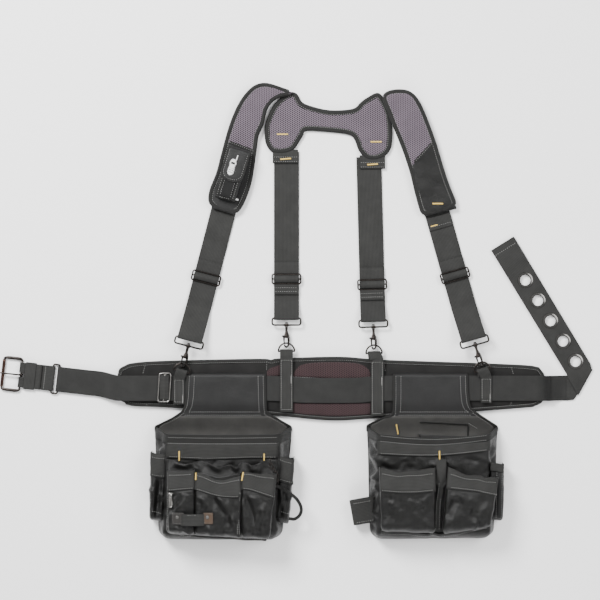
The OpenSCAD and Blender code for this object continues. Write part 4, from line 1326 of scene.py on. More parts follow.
class Pocket:
    """A sewn pocket, open at its mouth.

    u goes across it, up the left side, over the front and down the right side; v goes from the
    mouth to the bottom seam. mouth and bottom are their left and right ends in plan; low, high and
    mouth_high the heights of its back, its front and its front at the mouth. radius rounds the front
    into the sides, bottom_round into the bottom, and corner draws the bottom corners in. sag is how
    far the mouth's middle hangs down, flare how far the sides' feet spread at the mouth and at the
    bottom, flare_up how far they run up at the mouth. openings are x, half width, drop and reach of
    the places where the mouth gapes. place, if given, is the x, y and turn of its own frame."""

    def __init__(self, mouth, bottom, low, high, mouth_high=None, radius=7.0, bottom_round=18.0, sag=0.0,
                 flare=(0.0, 0.0), flare_up=0.0, openings=(), fabric=None, place=(0, 0, 0), corner=10.0):
        self.mouth, self.bottom = np.array(mouth, float), np.array(bottom, float)
        self.low, self.high = low, high
        self.mouth_high = high if mouth_high is None else mouth_high
        self.sag, self.flare, self.flare_up, self.openings = sag, flare, flare_up, openings
        self.fabric = fabric or Fabric()
        self.place, self.corner = place, corner
        self.length = float(np.mean(self.mouth[:, 1]) - np.mean(self.bottom[:, 1]))
        self.round = bottom_round
        width, tall = self.mouth[1, 0] - self.mouth[0, 0], high - low
        radius = min(radius, tall * 0.9)
        turn = np.linspace(0, math.pi / 2, 8)
        side = [(0, 0)] + [(radius - radius * math.cos(a), tall - radius + radius * math.sin(a))
                           for a in turn]
        front = [(x, tall + 0.6 * math.sin(math.pi * (x - radius) / (width - 2 * radius)))
                 for x in np.linspace(radius, width - radius, 9)[1:-1]]
        path = np.array(side + front + [(width - x, z) for x, z in side[::-1]])
        where = lengths_along(path)
        self.us = where / where[-1]
        self.xs, self.zs = path[:, 0] / width, path[:, 1] / tall
        self.straight = (self.length - self.round) / (self.length + 0.57 * self.round)

    def plain(self, u, v):
        xh, zh = np.interp(u, self.us, self.xs), np.interp(u, self.us, self.zs)
        q = np.clip((v - self.straight) / (1 - self.straight), 0, 1) * math.pi / 2
        part = (self.length - self.round) / self.length
        s = np.where(v < self.straight, v / self.straight * part, part + (1 - part) * np.sin(q))
        left = self.mouth[0] + (self.bottom[0] - self.mouth[0]) * s[:, None]
        right = self.mouth[1] + (self.bottom[1] - self.mouth[1]) * s[:, None]
        inset = self.corner * (1 - np.cos(q))
        left[:, 0] += inset
        right[:, 0] -= inset
        xy = left + (right - left) * xh[:, None]
        flare = (self.flare[0] + (self.flare[1] - self.flare[0]) * s) * np.clip(1 - zh, 0, 1)
        xy[:, 0] += np.where(xh < 0.5, -flare, flare) * np.cos(q)
        near = (1 - s) ** 4
        xy[:, 1] += self.flare_up * np.clip(1 - zh, 0, 1) * near - self.sag * np.sin(math.pi * xh) * (1 - s)
        high = self.mouth_high + (self.high - self.mouth_high) * smoothstep(0, 0.4, s)
        z = self.low + zh * (high - self.low) * (0.04 + 0.96 * np.cos(q))
        for x, half, drop, out in self.openings:
            bump = np.exp(-((xy[:, 0] - x) / half) ** 2) * (1 - s) ** 6 * (zh > 0.9)
            xy[:, 1] -= drop * bump
            z += out * bump
        return np.column_stack([xy, z])

    def surface(self, u, v, lift=0.0):
        u, v = np.broadcast_arrays(np.asarray(u, float), np.asarray(v, float))
        u, v = u.ravel(), v.ravel()
        base = self.plain(u, v)
        e = 0.006
        du = self.plain(np.clip(u + e, 0, 1), v) - self.plain(np.clip(u - e, 0, 1), v)
        dv = self.plain(u, np.clip(v - e, 0, 1)) - self.plain(u, np.clip(v + e, 0, 1))
        normal = unit(np.cross(du, dv))
        seam = smoothstep(0, 0.06, u) * smoothstep(0, 0.06, 1 - u) * smoothstep(0, 0.05, 1 - v)
        out = base + normal * (self.fabric.lift(base[:, :2]) * seam + lift)[:, None]
        return placed(out, self.place) if any(self.place) else out

    def uv(self, x, y):
        """Where a point seen in plan lies on the front."""
        s = np.clip((np.mean(self.mouth[:, 1]) - np.asarray(y, float)) / self.length, 0, 1)
        left = self.mouth[0, 0] + (self.bottom[0, 0] - self.mouth[0, 0]) * s
        right = self.mouth[1, 0] + (self.bottom[1, 0] - self.mouth[1, 0]) * s
        xh = np.clip((x - left) / (right - left), 0.001, 0.999)
        part = (self.length - self.round) / self.length
        q = np.arcsin(np.clip((s - part) / (1 - part), 0, 1)) * 2 / math.pi
        v = np.where(s < part, s / part * self.straight, self.straight + (1 - self.straight) * q)
        return np.interp(xh, self.xs, self.us), v

    def on(self, points, lift=0.4):
        points = straight_path(np.array(points, float), 2.0)
        return self.surface(*self.uv(points[:, 0], points[:, 1]), lift)

    def shell(self, name, material, body, node=None, across=72, along=56):
        u, v = np.meshgrid(np.linspace(0, 1, across), np.linspace(1, 0, along))
        grid = self.surface(u, v).reshape(along, across, 3)
        piece = shell_grid(name, grid, 1.3, material, body, "nylon")
        if node:
            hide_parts(node)
        declare_cloth(piece)
        return piece

    def band(self, name, x0, x1, upper, lower, lift, thick, material, body, slot="webbing", wrap=False,
             columns=48):
        """Webbing or tape sewn over the front between two curves of x."""
        if wrap:
            us = np.linspace(0, 1, columns + 30)
            xs = self.plain(us, us * 0)[:, 0]
        else:
            xs = np.linspace(x0, x1, columns)
            us = self.uv(xs, np.array([upper(x) for x in xs]))[0]
        high = np.array([self.uv(0, upper(x))[1] for x in xs])
        low = np.array([self.uv(0, lower(x))[1] for x in xs])
        rows = 7
        t = np.linspace(1, 0, rows)[:, None]
        v = high[None] + (low - high)[None] * t
        grid = self.surface(np.broadcast_to(us, v.shape), v, lift + thick).reshape(rows, len(xs), 3)
        return shell_grid(name, grid, thick + 0.8, material, body, slot)


def declare_cloth(piece):
    """Works out the lowest and highest corners of a shell of cloth as finished, which isn't the developed cut;
    nothing else is done with them. Declares a shell of cloth as a rectangle of its own finished area, which
    isn't the developed cut.
    """
    low, high = coords(piece).min(0) * MM, coords(piece).max(0) * MM


def constant(y):
    return lambda x: y


def tack(pocket, x0, y0, x1, y1, lift):
    """A bartack from one plan point to another, on a pocket."""
    a, b = pocket.on([(x0, y0), (x1, y1)], lift)[[0, -1]]
    return bartack_pairs(a, b, 3.2, 0.8)


class Panel:
    """The sheet at the back of a pouch: a sleeve over the belt webbing, running down behind it."""

    FRONT = [(-123.6, 15.9), (-126, 18.2), (-132, 18.9), (-180, 18.9), (-190, 17.8), (-200, 15.8),
             (-212, 14.6), (-226, 8.6), (-238, 4.2), (-260, 3.0), (-440, 2.6)]

    def __init__(self, left, right, seed):
        self.left, self.right = np.array(left, float)[::-1], np.array(right, float)[::-1]
        self.seed = seed
        self.front = smooth_path(np.array([(0, y, z) for y, z in self.FRONT]), 3)[:, 1:]

    def edges(self, y):
        return (np.interp(y, self.left[:, 1], self.left[:, 0]),
                np.interp(y, self.right[:, 1], self.right[:, 0]))

    def on(self, points, lift=0.4, dense=True):
        points = np.array(points, float)
        if dense:
            points = straight_path(points, 2.0)
        z = np.interp(points[:, 1], self.front[::-1, 0], self.front[::-1, 1])
        wave = ripple(points[:, :2], 34, self.seed) * 1.1 * smoothstep(-124, -140, points[:, 1])
        return np.column_stack([points[:, :2], z + wave + lift])

    def row(self, y, inset=0):
        """Plan points across the panel, in from its edges by the inset."""
        a, b = self.edges(y)
        return np.column_stack([a + inset + (b - a - 2 * inset) * np.linspace(0, 1, 48), np.full(48, y)])

    def build(self, name, body, node):
        back = [(-124.5, 13.6), (-130, 13.1), (-160, 13.1), (-184, 13.1)]
        rows = [self.on(self.row(y), 0, False) for y in self.front[::-1, 0]]
        rows += [np.column_stack([self.row(y), np.full(48, z)]) for y, z in back]
        piece = shell_grid(name, np.array(rows), 1.2, NYLON, body, "nylon")
        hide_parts(node)
        declare_cloth(piece)
        # a lighter sheet laid over the panel's slope inside the pouch mouth: painted light where the black
        # nylon would only reflect the dark front wall
        rows = [self.on(self.row(y, 7), 0.9, False) for y in np.linspace(-300, -209.5, 24)]
        painted_light_sheet = shell_grid(name + "_lining", np.array(rows), 0.8, PAINTED_LIGHT_CLOTH, body, "nylon")
        declare_cloth(painted_light_sheet)
        stitches = []
        ys = np.linspace(-129, -203, 30)
        flare = np.linspace(-203, -228, 12)
        for side in (0, 1):
            sign = 1 if side == 0 else -1
            for inset in (4.0, 14.0):
                line = [(self.edges(y)[side] + sign * inset, y) for y in ys]
                stitches += stitch_pairs(self.on(line, 0.4))
            line = [(self.edges(y)[side] + sign * 7, y) for y in flare]
            stitches += stitch_pairs(self.on(line, 0.4))
            edge = [(self.edges(y)[side] + sign * 1.0, y) for y in np.linspace(-126, -240, 60)]
            tape = sweep(f"{name}_edge_{side}", level(self.on(edge, -0.4), 4), (1, 0, 0),
                         round_profile(5.4, 3.2, 10), TAPE)
            ride(tape, body, slot="webbing")
        for y in (-201, -207.5):
            a, b = self.edges(y)
            stitches += stitch_pairs(self.on([(a + 14, y), (b - 14, y)], 0.4))
        segments(name + "_stitches", stitches, 0.5, GREY_THREAD, body)


def left_pouch():
    body = "left_pouch"
    panel = Panel([(-216, -123), (-218, -170), (-221, -190), (-228, -202), (-246, -214), (-281, -231),
                   (-281, -244), (-281, -262), (-280, -290), (-276, -400), (-264, -442)],
                  [(-61.5, -123), (-60.5, -170), (-59.5, -198), (-55, -206.5), (-41, -213), (-10, -231),
                   (-9, -244), (-10, -262), (-13, -290), (-24, -400), (-38, -442)], 2)
    panel.build("left_panel", body, "left_pouch_panel")
    main = Pocket([(-257, -243), (-33, -243)], [(-262, -455), (-40, -456)], low=2.6, high=50.4,
                  mouth_high=48.5, radius=8, bottom_round=20, sag=1.5, flare=(24, 12), flare_up=12,
                  fabric=Fabric([(-263, -255, -268, -300, 4, 2), (-20, -262, -28, -300, 4, -2)]
                                + creases(31, (-282, -440), (-258, -262), 16, 4.0, 0.9)
                                + creases(32, (-30, -440), (-12, -262), 12, 3.5, 0.9)
                                + creases(33, (-250, -306), (-40, -294), 14, 3.0, 1.2),
                                calm=[(-291, -240, -256, -34)], uneven=1.4, seed=4), corner=16)
    main.shell("left_main", SHINY_NYLON, body, "left_main_pocket")
    main.band("left_rim", 0, 0, constant(-242.2), constant(-263), 0.1, 1.2, TAPE, body, wrap=True)
    main.band("left_web_band", -254, -36, constant(-260),
              curve_of([(-254, -290), (-180, -293), (-90, -290), (-36, -291)]), 0.7, 1.6, WEBBING, body)
    stitches = []
    for y, lift in ((-249.4, 1.6), (-260.6, 2.7)):
        stitches += stitch_pairs(main.on([(-252, y), (-38, y)], lift))
    stitches += stitch_pairs(main.on([(-250, -287), (-180, -289.6), (-90, -287), (-40, -288)], 2.6))
    tacks = tack(main, -230.6, -276, -230.4, -295, 2.9) + tack(main, -62.8, -281, -62.8, -300, 2.9)

    outer_folds = [(-238, -300, -214, -306, 5, 4), (-214, -296, -190, -312, 5, 3.5),
                   (-170, -300, -150, -312, 6, 4), (-126, -297, -116, -312, 5, 4),
                   (-92, -298, -84, -314, 4, 4), (-72, -300, -70, -316, 4, 3), (-232, -350, -246, -430, 5, 3)]
    outer = Pocket([(-254, -292), (-34, -292)], [(-255, -440), (-52, -450)], low=49, high=73, mouth_high=62,
                   radius=6, bottom_round=14, sag=4,
                   openings=[(-216, 14, 6, 3), (-148, 22, 10, 4), (-118, 8, 9, 4), (-84, 14, 8, 4)],
                   fabric=Fabric(outer_folds, uneven=1.6, seed=7), corner=12)
    outer.shell("left_outer", SHINY_NYLON, body, "left_outer_pocket")
    lows = [("a", [(-252, -313), (-198.6, -312)], [(-250, -436), (-198.6, -440)],
             [(-238, -396, -206, -356, 9, 4.5), (-224, -362, -244, -392, 5, -3),
              (-232, -424, -206, -436, 4, 2.5)], [(-252, -313), (-225, -311.5), (-198.6, -311.5)],
             [(-252, -353), (-225, -350), (-198.6, -348)], [(-226, 22, 2, 2)]),
            ("b", [(-197.4, -316), (-107, -317)], [(-197.4, -441), (-107, -445)],
             [(-186, -362, -160, -400, 6, 4), (-170, -352, -142, -396, 5, -4),
              (-150, -364, -122, -410, 6, 4), (-146, -436, -128, -396, 5, -4),
              (-166, -438, -176, -402, 5, 3), (-118, -430, -134, -374, 4, 2.5)],
             [(-197.4, -314), (-180, -317), (-150, -325), (-120, -323), (-107, -321)],
             [(-197.4, -350), (-180, -355), (-150, -362), (-120, -364), (-107, -362)], [(-150, 26, 9, 3)]),
            ("c", [(-106, -315), (-38, -317)], [(-106, -446), (-52, -448)],
             [(-98, -362, -72, -436, 5, -5), (-90, -356, -58, -398, 8, 4.5), (-60, -380, -78, -420, 5, 3),
              (-104, -372, -96, -430, 4, 2.5)], [(-106, -314), (-84, -312), (-38, -320)],
             [(-106, -350), (-84, -352), (-38, -366)], [(-70, 18, 3, 3)])]
    for name, mouth, bottom, folds, upper, lower, openings in lows:
        low_curve, high_curve = curve_of(lower), curve_of(upper)
        rumpled = creases(ord(name), (mouth[0][0] + 6, -436), (mouth[1][0] - 6, -368), 9, 2.6)
        fabric = Fabric(folds + rumpled, calm=[(-360 if name != "a" else -352, -300, -999, 999)],
                        uneven=1.6, seed=ord(name),
                        quiet=[(-231, -405, 16), (-171, -405, 15), (-200, -408, 18)])
        pocket = Pocket(mouth, bottom, low=66, high=89.3, mouth_high=82, radius=6, bottom_round=12,
                        openings=openings, fabric=fabric, corner=6)
        piece = pocket.shell(f"left_lower_{name}", SHINY_NYLON, body, across=48, along=50)
        x0, x1 = mouth[0][0] + 1, mouth[1][0] - 1
        pocket.band(f"left_lower_{name}_band", x0, x1, high_curve, low_curve, 0.4, 1.4, WEBBING, body,
                    columns=28)
        for curve, inset in ((high_curve, -7.5), (low_curve, 2.5)):
            line = [(x, curve(x) + inset) for x in np.linspace(x0 + 3, x1 - 3, 14)]
            stitches += stitch_pairs(pocket.on(line, 2.2))
        if name == "a":
            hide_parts("left_lower_pockets")
        if name == "b":
            tacks += tack(pocket, -195, -313, -195, -331, 2.4)
        if name == "c":
            tacks += tack(pocket, -102.5, -314, -104.5, -333, 2.4)
    for name, path, width in (("pleat", [(-111, -352), (-114, -395), (-112, -438)], 6.5),
                              ("gusset_right", [(-51, -350), (-54, -380), (-60, -420), (-64, -440)], 13),
                              ("gusset_left", [(-249, -352), (-250, -400), (-249, -428)], 6)):
        on_outer = outer.on(path, 14.0 if name == "pleat" else 4.0)
        on_outer[:, 2] = np.clip(on_outer[:, 2], 74, 92.2)
        tape = strap(f"left_{name}", level(smooth_path(on_outer[::6], 3), 8), (1, 0, 0), width, 1.8,
                     material=TAPE)
        ride(tape, body, slot="webbing")
        for dx in (-width / 2 + 1.6, width / 2 - 1.6):
            stitches += stitch_pairs(level(on_outer, 8) + (dx, 0, 1.2))
    seam = [(-252, -427), (-226, -436), (-192, -440.5), (-130, -443), (-72, -447.5), (-52, -449)]
    stitches += stitch_pairs(outer.on(seam, 1.0))
    binding_line = main.on([(x, y - 4) for x, y in seam], 1.4)
    tape = sweep("left_bottom_binding", level(binding_line, 6), (0, 0.5, 1), round_profile(9, 4, 10), TAPE)
    ride(tape, body, slot="webbing")
    stitches += stitch_pairs(main.on([(x, y - 5) for x, y in seam], 3.6))
    side_pockets(body, stitches)
    segments("left_pouch_stitches", stitches, 0.48, GREY_THREAD, body)
    segments("left_pouch_bartacks", tacks, 0.5, YELLOW_THREAD, body)
    left_trims(body)


def side_pockets(body, stitches):
    sides = [("left_side_a", [(-288, -279), (-255, -281)], [(-290, -417), (-258, -420)],
              [(-280, -330, -284, -408, 5, 4), (-268, -336, -276, -400, 4, -3.5),
               (-262, -330, -266, -390, 4, 3)], (-280, -327)),
             ("left_side_b", [(-35, -285), (-3, -290)], [(-42, -420), (-14, -424)],
              [(-30, -344, -24, -400, 4, 3.5), (-16, -340, -30, -404, 4, -3),
               (-12, -360, -20, -410, 3, 2.5)], (-286, -336))]
    first = None
    for name, mouth, bottom, folds, (y0, y1) in sides:
        rumpled = creases(len(name) + int(-mouth[0][0]), (mouth[0][0], -410), (mouth[1][0], -340), 7, 2.4)
        pocket = Pocket(mouth, bottom, low=3, high=45, mouth_high=45, radius=9, bottom_round=14, sag=2,
                        fabric=Fabric(list(folds) + rumpled, uneven=1.2, seed=len(folds) + 4), corner=5)
        piece = pocket.shell(name, SHINY_NYLON, body, across=44, along=46)
        first = first or piece
        tilt = mouth[1][1] - mouth[0][1]
        x0, x1 = mouth[0][0], mouth[1][0]
        edge = lambda y: (lambda x: y + tilt * (x - x0) / (x1 - x0))
        pocket.band(name + "_band", x0 + 1, x1 - 1, edge(y0), edge(y1), 0.3, 1.5, WEBBING, body, columns=20)
        for y in (y0 - 8, y1 + 4):
            stitches += stitch_pairs(pocket.on([(x0 + 4, edge(y)(x0 + 4)), (x1 - 4, edge(y)(x1 - 4))], 2.2))
        lower_y = -396
        stitches += stitch_pairs(pocket.on([(x0 + 5, lower_y), (x1 - 8, lower_y - 4)], 0.8))
    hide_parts("left_side_pockets")


def left_trims(body):
    """Leather patches, the tape clip's web loop, and the snap's thong."""
    for name, (x0, x1), (y0, y1), material in (("black", (-242.5, -219), (-417, -394), BLACK_LEATHER),
                                              ("tan", (-181, -162), (-416, -394), TAN_LEATHER)):
        outline = rounded_corners([(x0, y0), (x1, y0), (x1, y1), (x0, y1)], 2.5)
        loops = []
        for z, inset in ((89.6, 0.4), (90.0, 0), (91.9, 0), (92.5, 0.8)):
            middle = outline.mean(0)
            ring = middle + (outline - middle) * (1 - inset / 11)
            loops.append(np.column_stack([ring[:, :2], np.full(len(ring), z)]))
        k = len(outline)
        faces = ring_faces(len(loops), k)
        piece = mesh_object(f"tape_patch_{name}", np.vstack(loops), faces, material, False)
        ride(piece, body, slot="leather")
        inner = np.column_stack([(outline.mean(0) + (outline - outline.mean(0)) * 0.8)[:, :2],
                                 np.full(k, 92.7)])
        segments(f"tape_patch_{name}_stitches", stitch_pairs(closed(inner), 2, 1.2), 0.35,
                 LEATHER_THREAD, body)
        if name == "black":
            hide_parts("tape_patch")
    loop = smooth_path(np.array([(-224, -408, 91.5), (-219, -408, 94.3), (-202, -408, 96.2),
                                 (-186, -408, 94.3), (-179, -408, 91.5)], float), 2)
    piece = strap("tape_web_loop", loop, (0, 1, 0), 23, 2.0, 2, material=WEBBING)
    ride(piece, body, slot="webbing")
    segments("tape_web_loop_stitches", stitch_pairs([(-212, -398.2, 96.7), (-192, -398.2, 96.9)]), 0.5,
             GREY_THREAD, body)
    thong = smooth_path(np.array([(-42, -343, 60), (-36, -346, 52), (-27, -351, 47.6), (-14, -359, 46.6),
                                  (0, -370, 46.4), (8.5, -383, 46.4), (10.5, -395, 46.4), (6, -405, 46.4),
                                  (-3, -411, 46.4), (-14, -410, 46.6)], float), 2)
    across = np.cross(tangents(thong), (0, 0, 1))
    piece = strap("snap_thong_webbing", thong, across, 6.4, 2.2, 2, material=TAPE)
    ride(piece, body, "snap_thong", slot="webbing")
    links = [(-51, -292), (-49.6, -300), (-46, -308), (-41, -315), (-37, -324), (-36, -333), (-40, -341)]
    for i, (x, y) in enumerate(links[:-1]):
        nx, ny = links[i + 1]
        middle = np.array([(x + nx) / 2, (y + ny) / 2, 77 if i < 2 else 74 - 3.5 * (i - 2)])
        way = unit(np.array([nx - x, ny - y, 0.0]))
        side = np.cross(way, (0, 0, 1))
        if i % 2 == 0:
            side = side * 0.6 + (0, 0, 0.8)
        corners = [middle + way * a * 6 + side * b * 2.6 for a, b in ((-1, -1), (1, -1), (1, 1), (-1, 1))]
        link = closed_wire(f"snap_link_{i}", corners, 0.9, 2.4, GUNMETAL, np.cross(way, side))
        ride(link, body, slot="gunmetal")


def tape_clip():
    """A bent spring clip hanging from its pin."""
    x, y, z = -245, -356, 92.5
    pin = tube("tape_clip_pin", [(x - 5.4, y, z), (x + 5.4, y, z)], [1.5, 1.5], NICKEL)
    ride(pin, "tape_clip", "tape_clip", slot="nickel")
    side = [(0, 1.7, -0.4), (0, 0.6, 1.5), (0, -1.4, 1.2), (0, -4, 0.2), (0, -13, -0.1), (0, -20, 0.5),
            (0, -24, 0.9), (0, -26.2, 0.4), (0, -27.2, -0.6)]
    path = smooth_path(np.array(side) + (x, y, z), 1.2)
    plate = sweep("tape_clip_plate", path, (1, 0, 0), round_profile(6.6, 1.3, 14), NICKEL)
    ride(plate, "tape_clip", slot="nickel")
    for dx in (-2.1, 2.1):
        bead = tube(f"tape_clip_bead_{'a' if dx < 0 else 'b'}", path[6:-5] + (dx, 0, 0.55),
                    [0.2, 0.55, 0.55, 0.2], NICKEL)
        ride(bead, "tape_clip", slot="nickel")


def right_pouch():
    body = "right_pouch"
    panel = Panel([(195, -123), (195, -170), (194.5, -198), (189, -210), (171, -214), (142, -229),
                   (142, -244), (143, -262), (144, -290), (146, -400), (154, -440)],
                  [(341, -123), (342, -160), (344, -182), (348, -193.5), (360, -204), (402, -231),
                   (402, -244), (401, -262), (400, -290), (396, -400), (390, -440)], 5)
    panel.build("right_panel", body, "right_pouch_panel")
    main = Pocket([(163, -243), (382, -243)], [(159, -455), (384, -453)], low=2.6, high=50.4,
                  mouth_high=48.5, radius=8, bottom_round=20, sag=7, flare=(20, 11), flare_up=12,
                  fabric=Fabric([(150, -272, 158, -292, 5, 3), (146, -300, 156, -318, 5, -3),
                                 (152, -330, 148, -360, 5, 3), (156, -262, 164, -275, 4, 3),
                                 (396, -262, 390, -290, 4, 3), (270, -440, 276, -455, 8, -5)]
                                + creases(41, (144, -440), (164, -262), 20, 4.0, 1.0)
                                + creases(42, (382, -330), (400, -262), 10, 4.0, 1.0)
                                + creases(43, (166, -312), (380, -288), 20, 4.0, 1.1),
                                calm=[(-285, -240, 163, 382)], uneven=1.4, seed=9), corner=14)
    main.shell("right_main", SHINY_NYLON, body, "right_main_pocket")
    rim_top = curve_of([(120, -241.5), (163, -242), (272, -243), (382, -242), (420, -241.5)])
    rim_low = curve_of([(120, -259), (163, -260), (272, -262), (382, -256), (420, -256)])
    main.band("right_rim", 0, 0, rim_top, rim_low, 0.1, 1.2, TAPE, body, wrap=True)
    main.band("right_web_band", 164, 381, constant(-257), curve_of([(164, -283), (272, -281), (381, -276)]),
              0.7, 1.6, WEBBING, body)
    stitches = []
    for line, lift in (([(168, -246), (272, -246.5), (378, -245)], 1.6),
                       ([(168, -256.5), (272, -257.5), (378, -254)], 2.7),
                       ([(168, -280), (272, -278), (378, -273.5)], 2.6)):
        stitches += stitch_pairs(main.on(line, lift))
    tacks = tack(main, 283.2, -270, 283.6, -292, 3.0)
    specs = [("a", [(164, -308), (275, -308)], [(168, -434), (274, -438)], 48, 78.2, 66,
              [(176, -362, 190, -372, 5, -3), (178, -392, 190, -410, 7, -2.5), (262, -360, 250, -376, 5, 3),
               (200, -300, 214, -314, 5, 4), (186, -372, 196, -388, 5, 2.5)],
              [(164, -308), (220, -310), (275, -308)], [(164, -355), (220, -357), (275, -353)],
              [(200, 22, 7, 5), (240, 16, 4, 3)]),
             ("b", [(299, -306), (399, -328)], [(288, -440), (382, -428)], 48, 76.2, 66,
              [(310, -356, 340, -372, 8, 4), (350, -370, 300, -420, 9, 4), (376, -378, 352, -418, 7, 3.5),
               (312, -372, 296, -400, 6, -4.5), (330, -392, 376, -424, 5, -3)],
              [(299, -306), (350, -316), (399, -329)], [(299, -343), (350, -353), (395, -368)],
              [(335, 22, 8, 5), (372, 10, 5, 4)])]
    for name, mouth, bottom, low, high, mouth_high, folds, upper, lower, openings in specs:
        tilt = (mouth[1][1] - mouth[0][1]) / (mouth[1][0] - mouth[0][0])
        middle = (mouth[0][0] + mouth[1][0]) / 2
        rumpled = creases(ord(name) + 9, (mouth[0][0] + 8, -430), (mouth[1][0] - 8, -372), 10, 2.6)
        fabric = Fabric(folds + rumpled, calm=[(-356, -290, -999, 999)], uneven=1.6, seed=ord(name) + 5)
        pocket = Pocket(mouth, bottom, low=low, high=high, mouth_high=mouth_high, radius=7, bottom_round=13,
                        openings=openings, fabric=fabric, corner=8)
        piece = pocket.shell(f"right_lower_{name}", SHINY_NYLON, body, across=60, along=52)
        high_curve, low_curve = curve_of(upper), curve_of(lower)
        level_up = lambda curve, extra=0.0: (lambda x: curve(x) - tilt * (x - middle) + extra)
        x0, x1 = mouth[0][0] + 1.5, mouth[1][0] - 1.5
        pocket.band(f"right_lower_{name}_band", x0, x1, level_up(high_curve), level_up(low_curve), 0.4, 1.5,
                    WEBBING, body)
        for curve, inset in ((high_curve, -11.5), (low_curve, 3.0)):
            line = [(x, level_up(curve, inset)(x)) for x in np.linspace(x0 + 4, x1 - 4, 20)]
            stitches += stitch_pairs(pocket.on(line, 2.3))
        if name == "a":
            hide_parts("right_lower_pockets")
    seam = [(168, -432), (226, -433), (274, -440), (318, -434), (376, -423)]
    stitches += stitch_pairs(main.on(seam, 2.2)) + stitch_pairs(main.on([(x, y - 6) for x, y in seam], 2.6))
    tape = sweep("right_bottom_binding", level(main.on([(x, y - 3) for x, y in seam], 0.6), 6), (0, 0.5, 1),
                 round_profile(11, 3.4, 10), TAPE)
    ride(tape, body, slot="webbing")
    inner = Pocket([(245, -246), (343, -250)], [(247, -328), (341, -330)], low=4.2, high=17, mouth_high=17,
                   radius=5, bottom_round=8, fabric=Fabric(uneven=0.8, seed=3), corner=4)
    piece = inner.shell("right_inner", HEAVY_NYLON, body, "right_inner_pocket", across=40, along=24)
    edge_line = [(247, -222), (252, -221), (342, -226), (344, -232), (343, -250)]
    flap = panel.on(edge_line, 1.6)
    ride(sweep("right_inner_edge", level(flap, 3), (0, 0, 1), round_profile(3, 3, 8), TAPE), body,
         slot="webbing")
    centre_strip(body, stitches)
    narrow = Pocket([(384, -299), (413, -303)], [(384, -416), (411, -418)], low=3, high=42, mouth_high=42,
                    radius=8, bottom_round=12,
                    fabric=Fabric([(404, -320, 402, -410, 3, 2), (396, -330, 392, -400, 3, -2.5)],
                                  uneven=0.8, seed=8), corner=5)
    narrow.shell("right_side", HEAVY_NYLON, body, "right_side_pocket", across=36, along=40)
    narrow.band("right_side_band", 386, 411, constant(-300), constant(-318), 0.3, 1.4, WEBBING, body,
                columns=16)
    for x in (398, 408):
        stitches += stitch_pairs(narrow.on([(x, -306), (x - 2, -410)], 0.9))
    hammer_loop(body, stitches)
    stitches += stitch_pairs(panel.on([(344, -224), (364, -236)], 1))
    tacks += tack(panel, 200, -226, 204, -246, 4)
    segments("right_pouch_stitches", stitches, 0.48, GREY_THREAD, body)
    segments("right_pouch_bartacks", tacks, 0.5, YELLOW_THREAD, body)


def centre_strip(body, stitches):
    """The strip between the two front pockets, with a folded loop that ends in a point."""
    flat = smooth_path(np.array([(286.5, -296, 52), (286.5, -306, 55.4), (285, -350, 56.2), (281, -380, 56),
                                 (279, -432, 56.2)], float), 3)
    piece = strap("right_strip", flat, (1, 0, 0), 11, 2.2, 2, material=WEBBING)
    ride(piece, body, "right_centre_strip", slot="webbing")
    stitches += stitch_pairs(flat[4:] + (-3.4, 0, 1.4)) + stitch_pairs(flat[24:] + (3.4, 0, 1.4))
    top, low, tip = -292, -340, -353
    xs = np.linspace(-1, 1, 15)
    rows = []
    for t in np.linspace(0, 1, 24):
        y_side = low + (top - low) * t
        row = []
        for x in xs:
            y = y_side - (1 - t) * (low - tip) * (1 - abs(x))
            z = 57.4 + 5.2 * math.sin(math.pi * min(1, 1.15 * (1 - t))) * (1 - 0.35 * x * x)
            row.append((286.5 + x * (9.5 + 1.5 * (1 - t)), y, z))
        rows.append(row)
    shell_grid("right_strip_loop", np.array(rows), 1.8, WEBBING, body, "webbing")


def hammer_loop(body, stitches):
    """A wide web loop lying out to the side, fixed under the pocket's edge."""
    turn = math.radians(10)
    across = np.array([-math.sin(turn), math.cos(turn), 0])
    out = np.array([math.cos(turn), math.sin(turn), 0])
    middle = np.array([157.5, -394, 14]) - out * 22
    half, tall = 24.5, 10.2
    ring = rounded_corners([(-half, -tall), (half, -tall), (half, tall), (-half, tall)], 8, 7)[:, :2]
    loop = np.array([middle + out * a + np.array([0, 0, b]) for a, b in ring])
    loop = straight_path(closed(loop), 3)
    piece = strap("hammer_loop_webbing", loop, across, 49.5, 2.2, 2, material=WEBBING)
    ride(piece, body, "hammer_loop", slot="webbing")
    for off in (18.5, -20):
        a = middle - out * 19 + across * off + np.array([0, 0, tall + 1.5])
        stitches += stitch_pairs([a, a + out * 36])


# ---- phone pouch on the left shoulder pad ----
PHONE_PLACE = (-127, 270, -17)
PHONE_Z = 14.7


def phone_at(points):
    return placed(points, PHONE_PLACE, PHONE_Z)


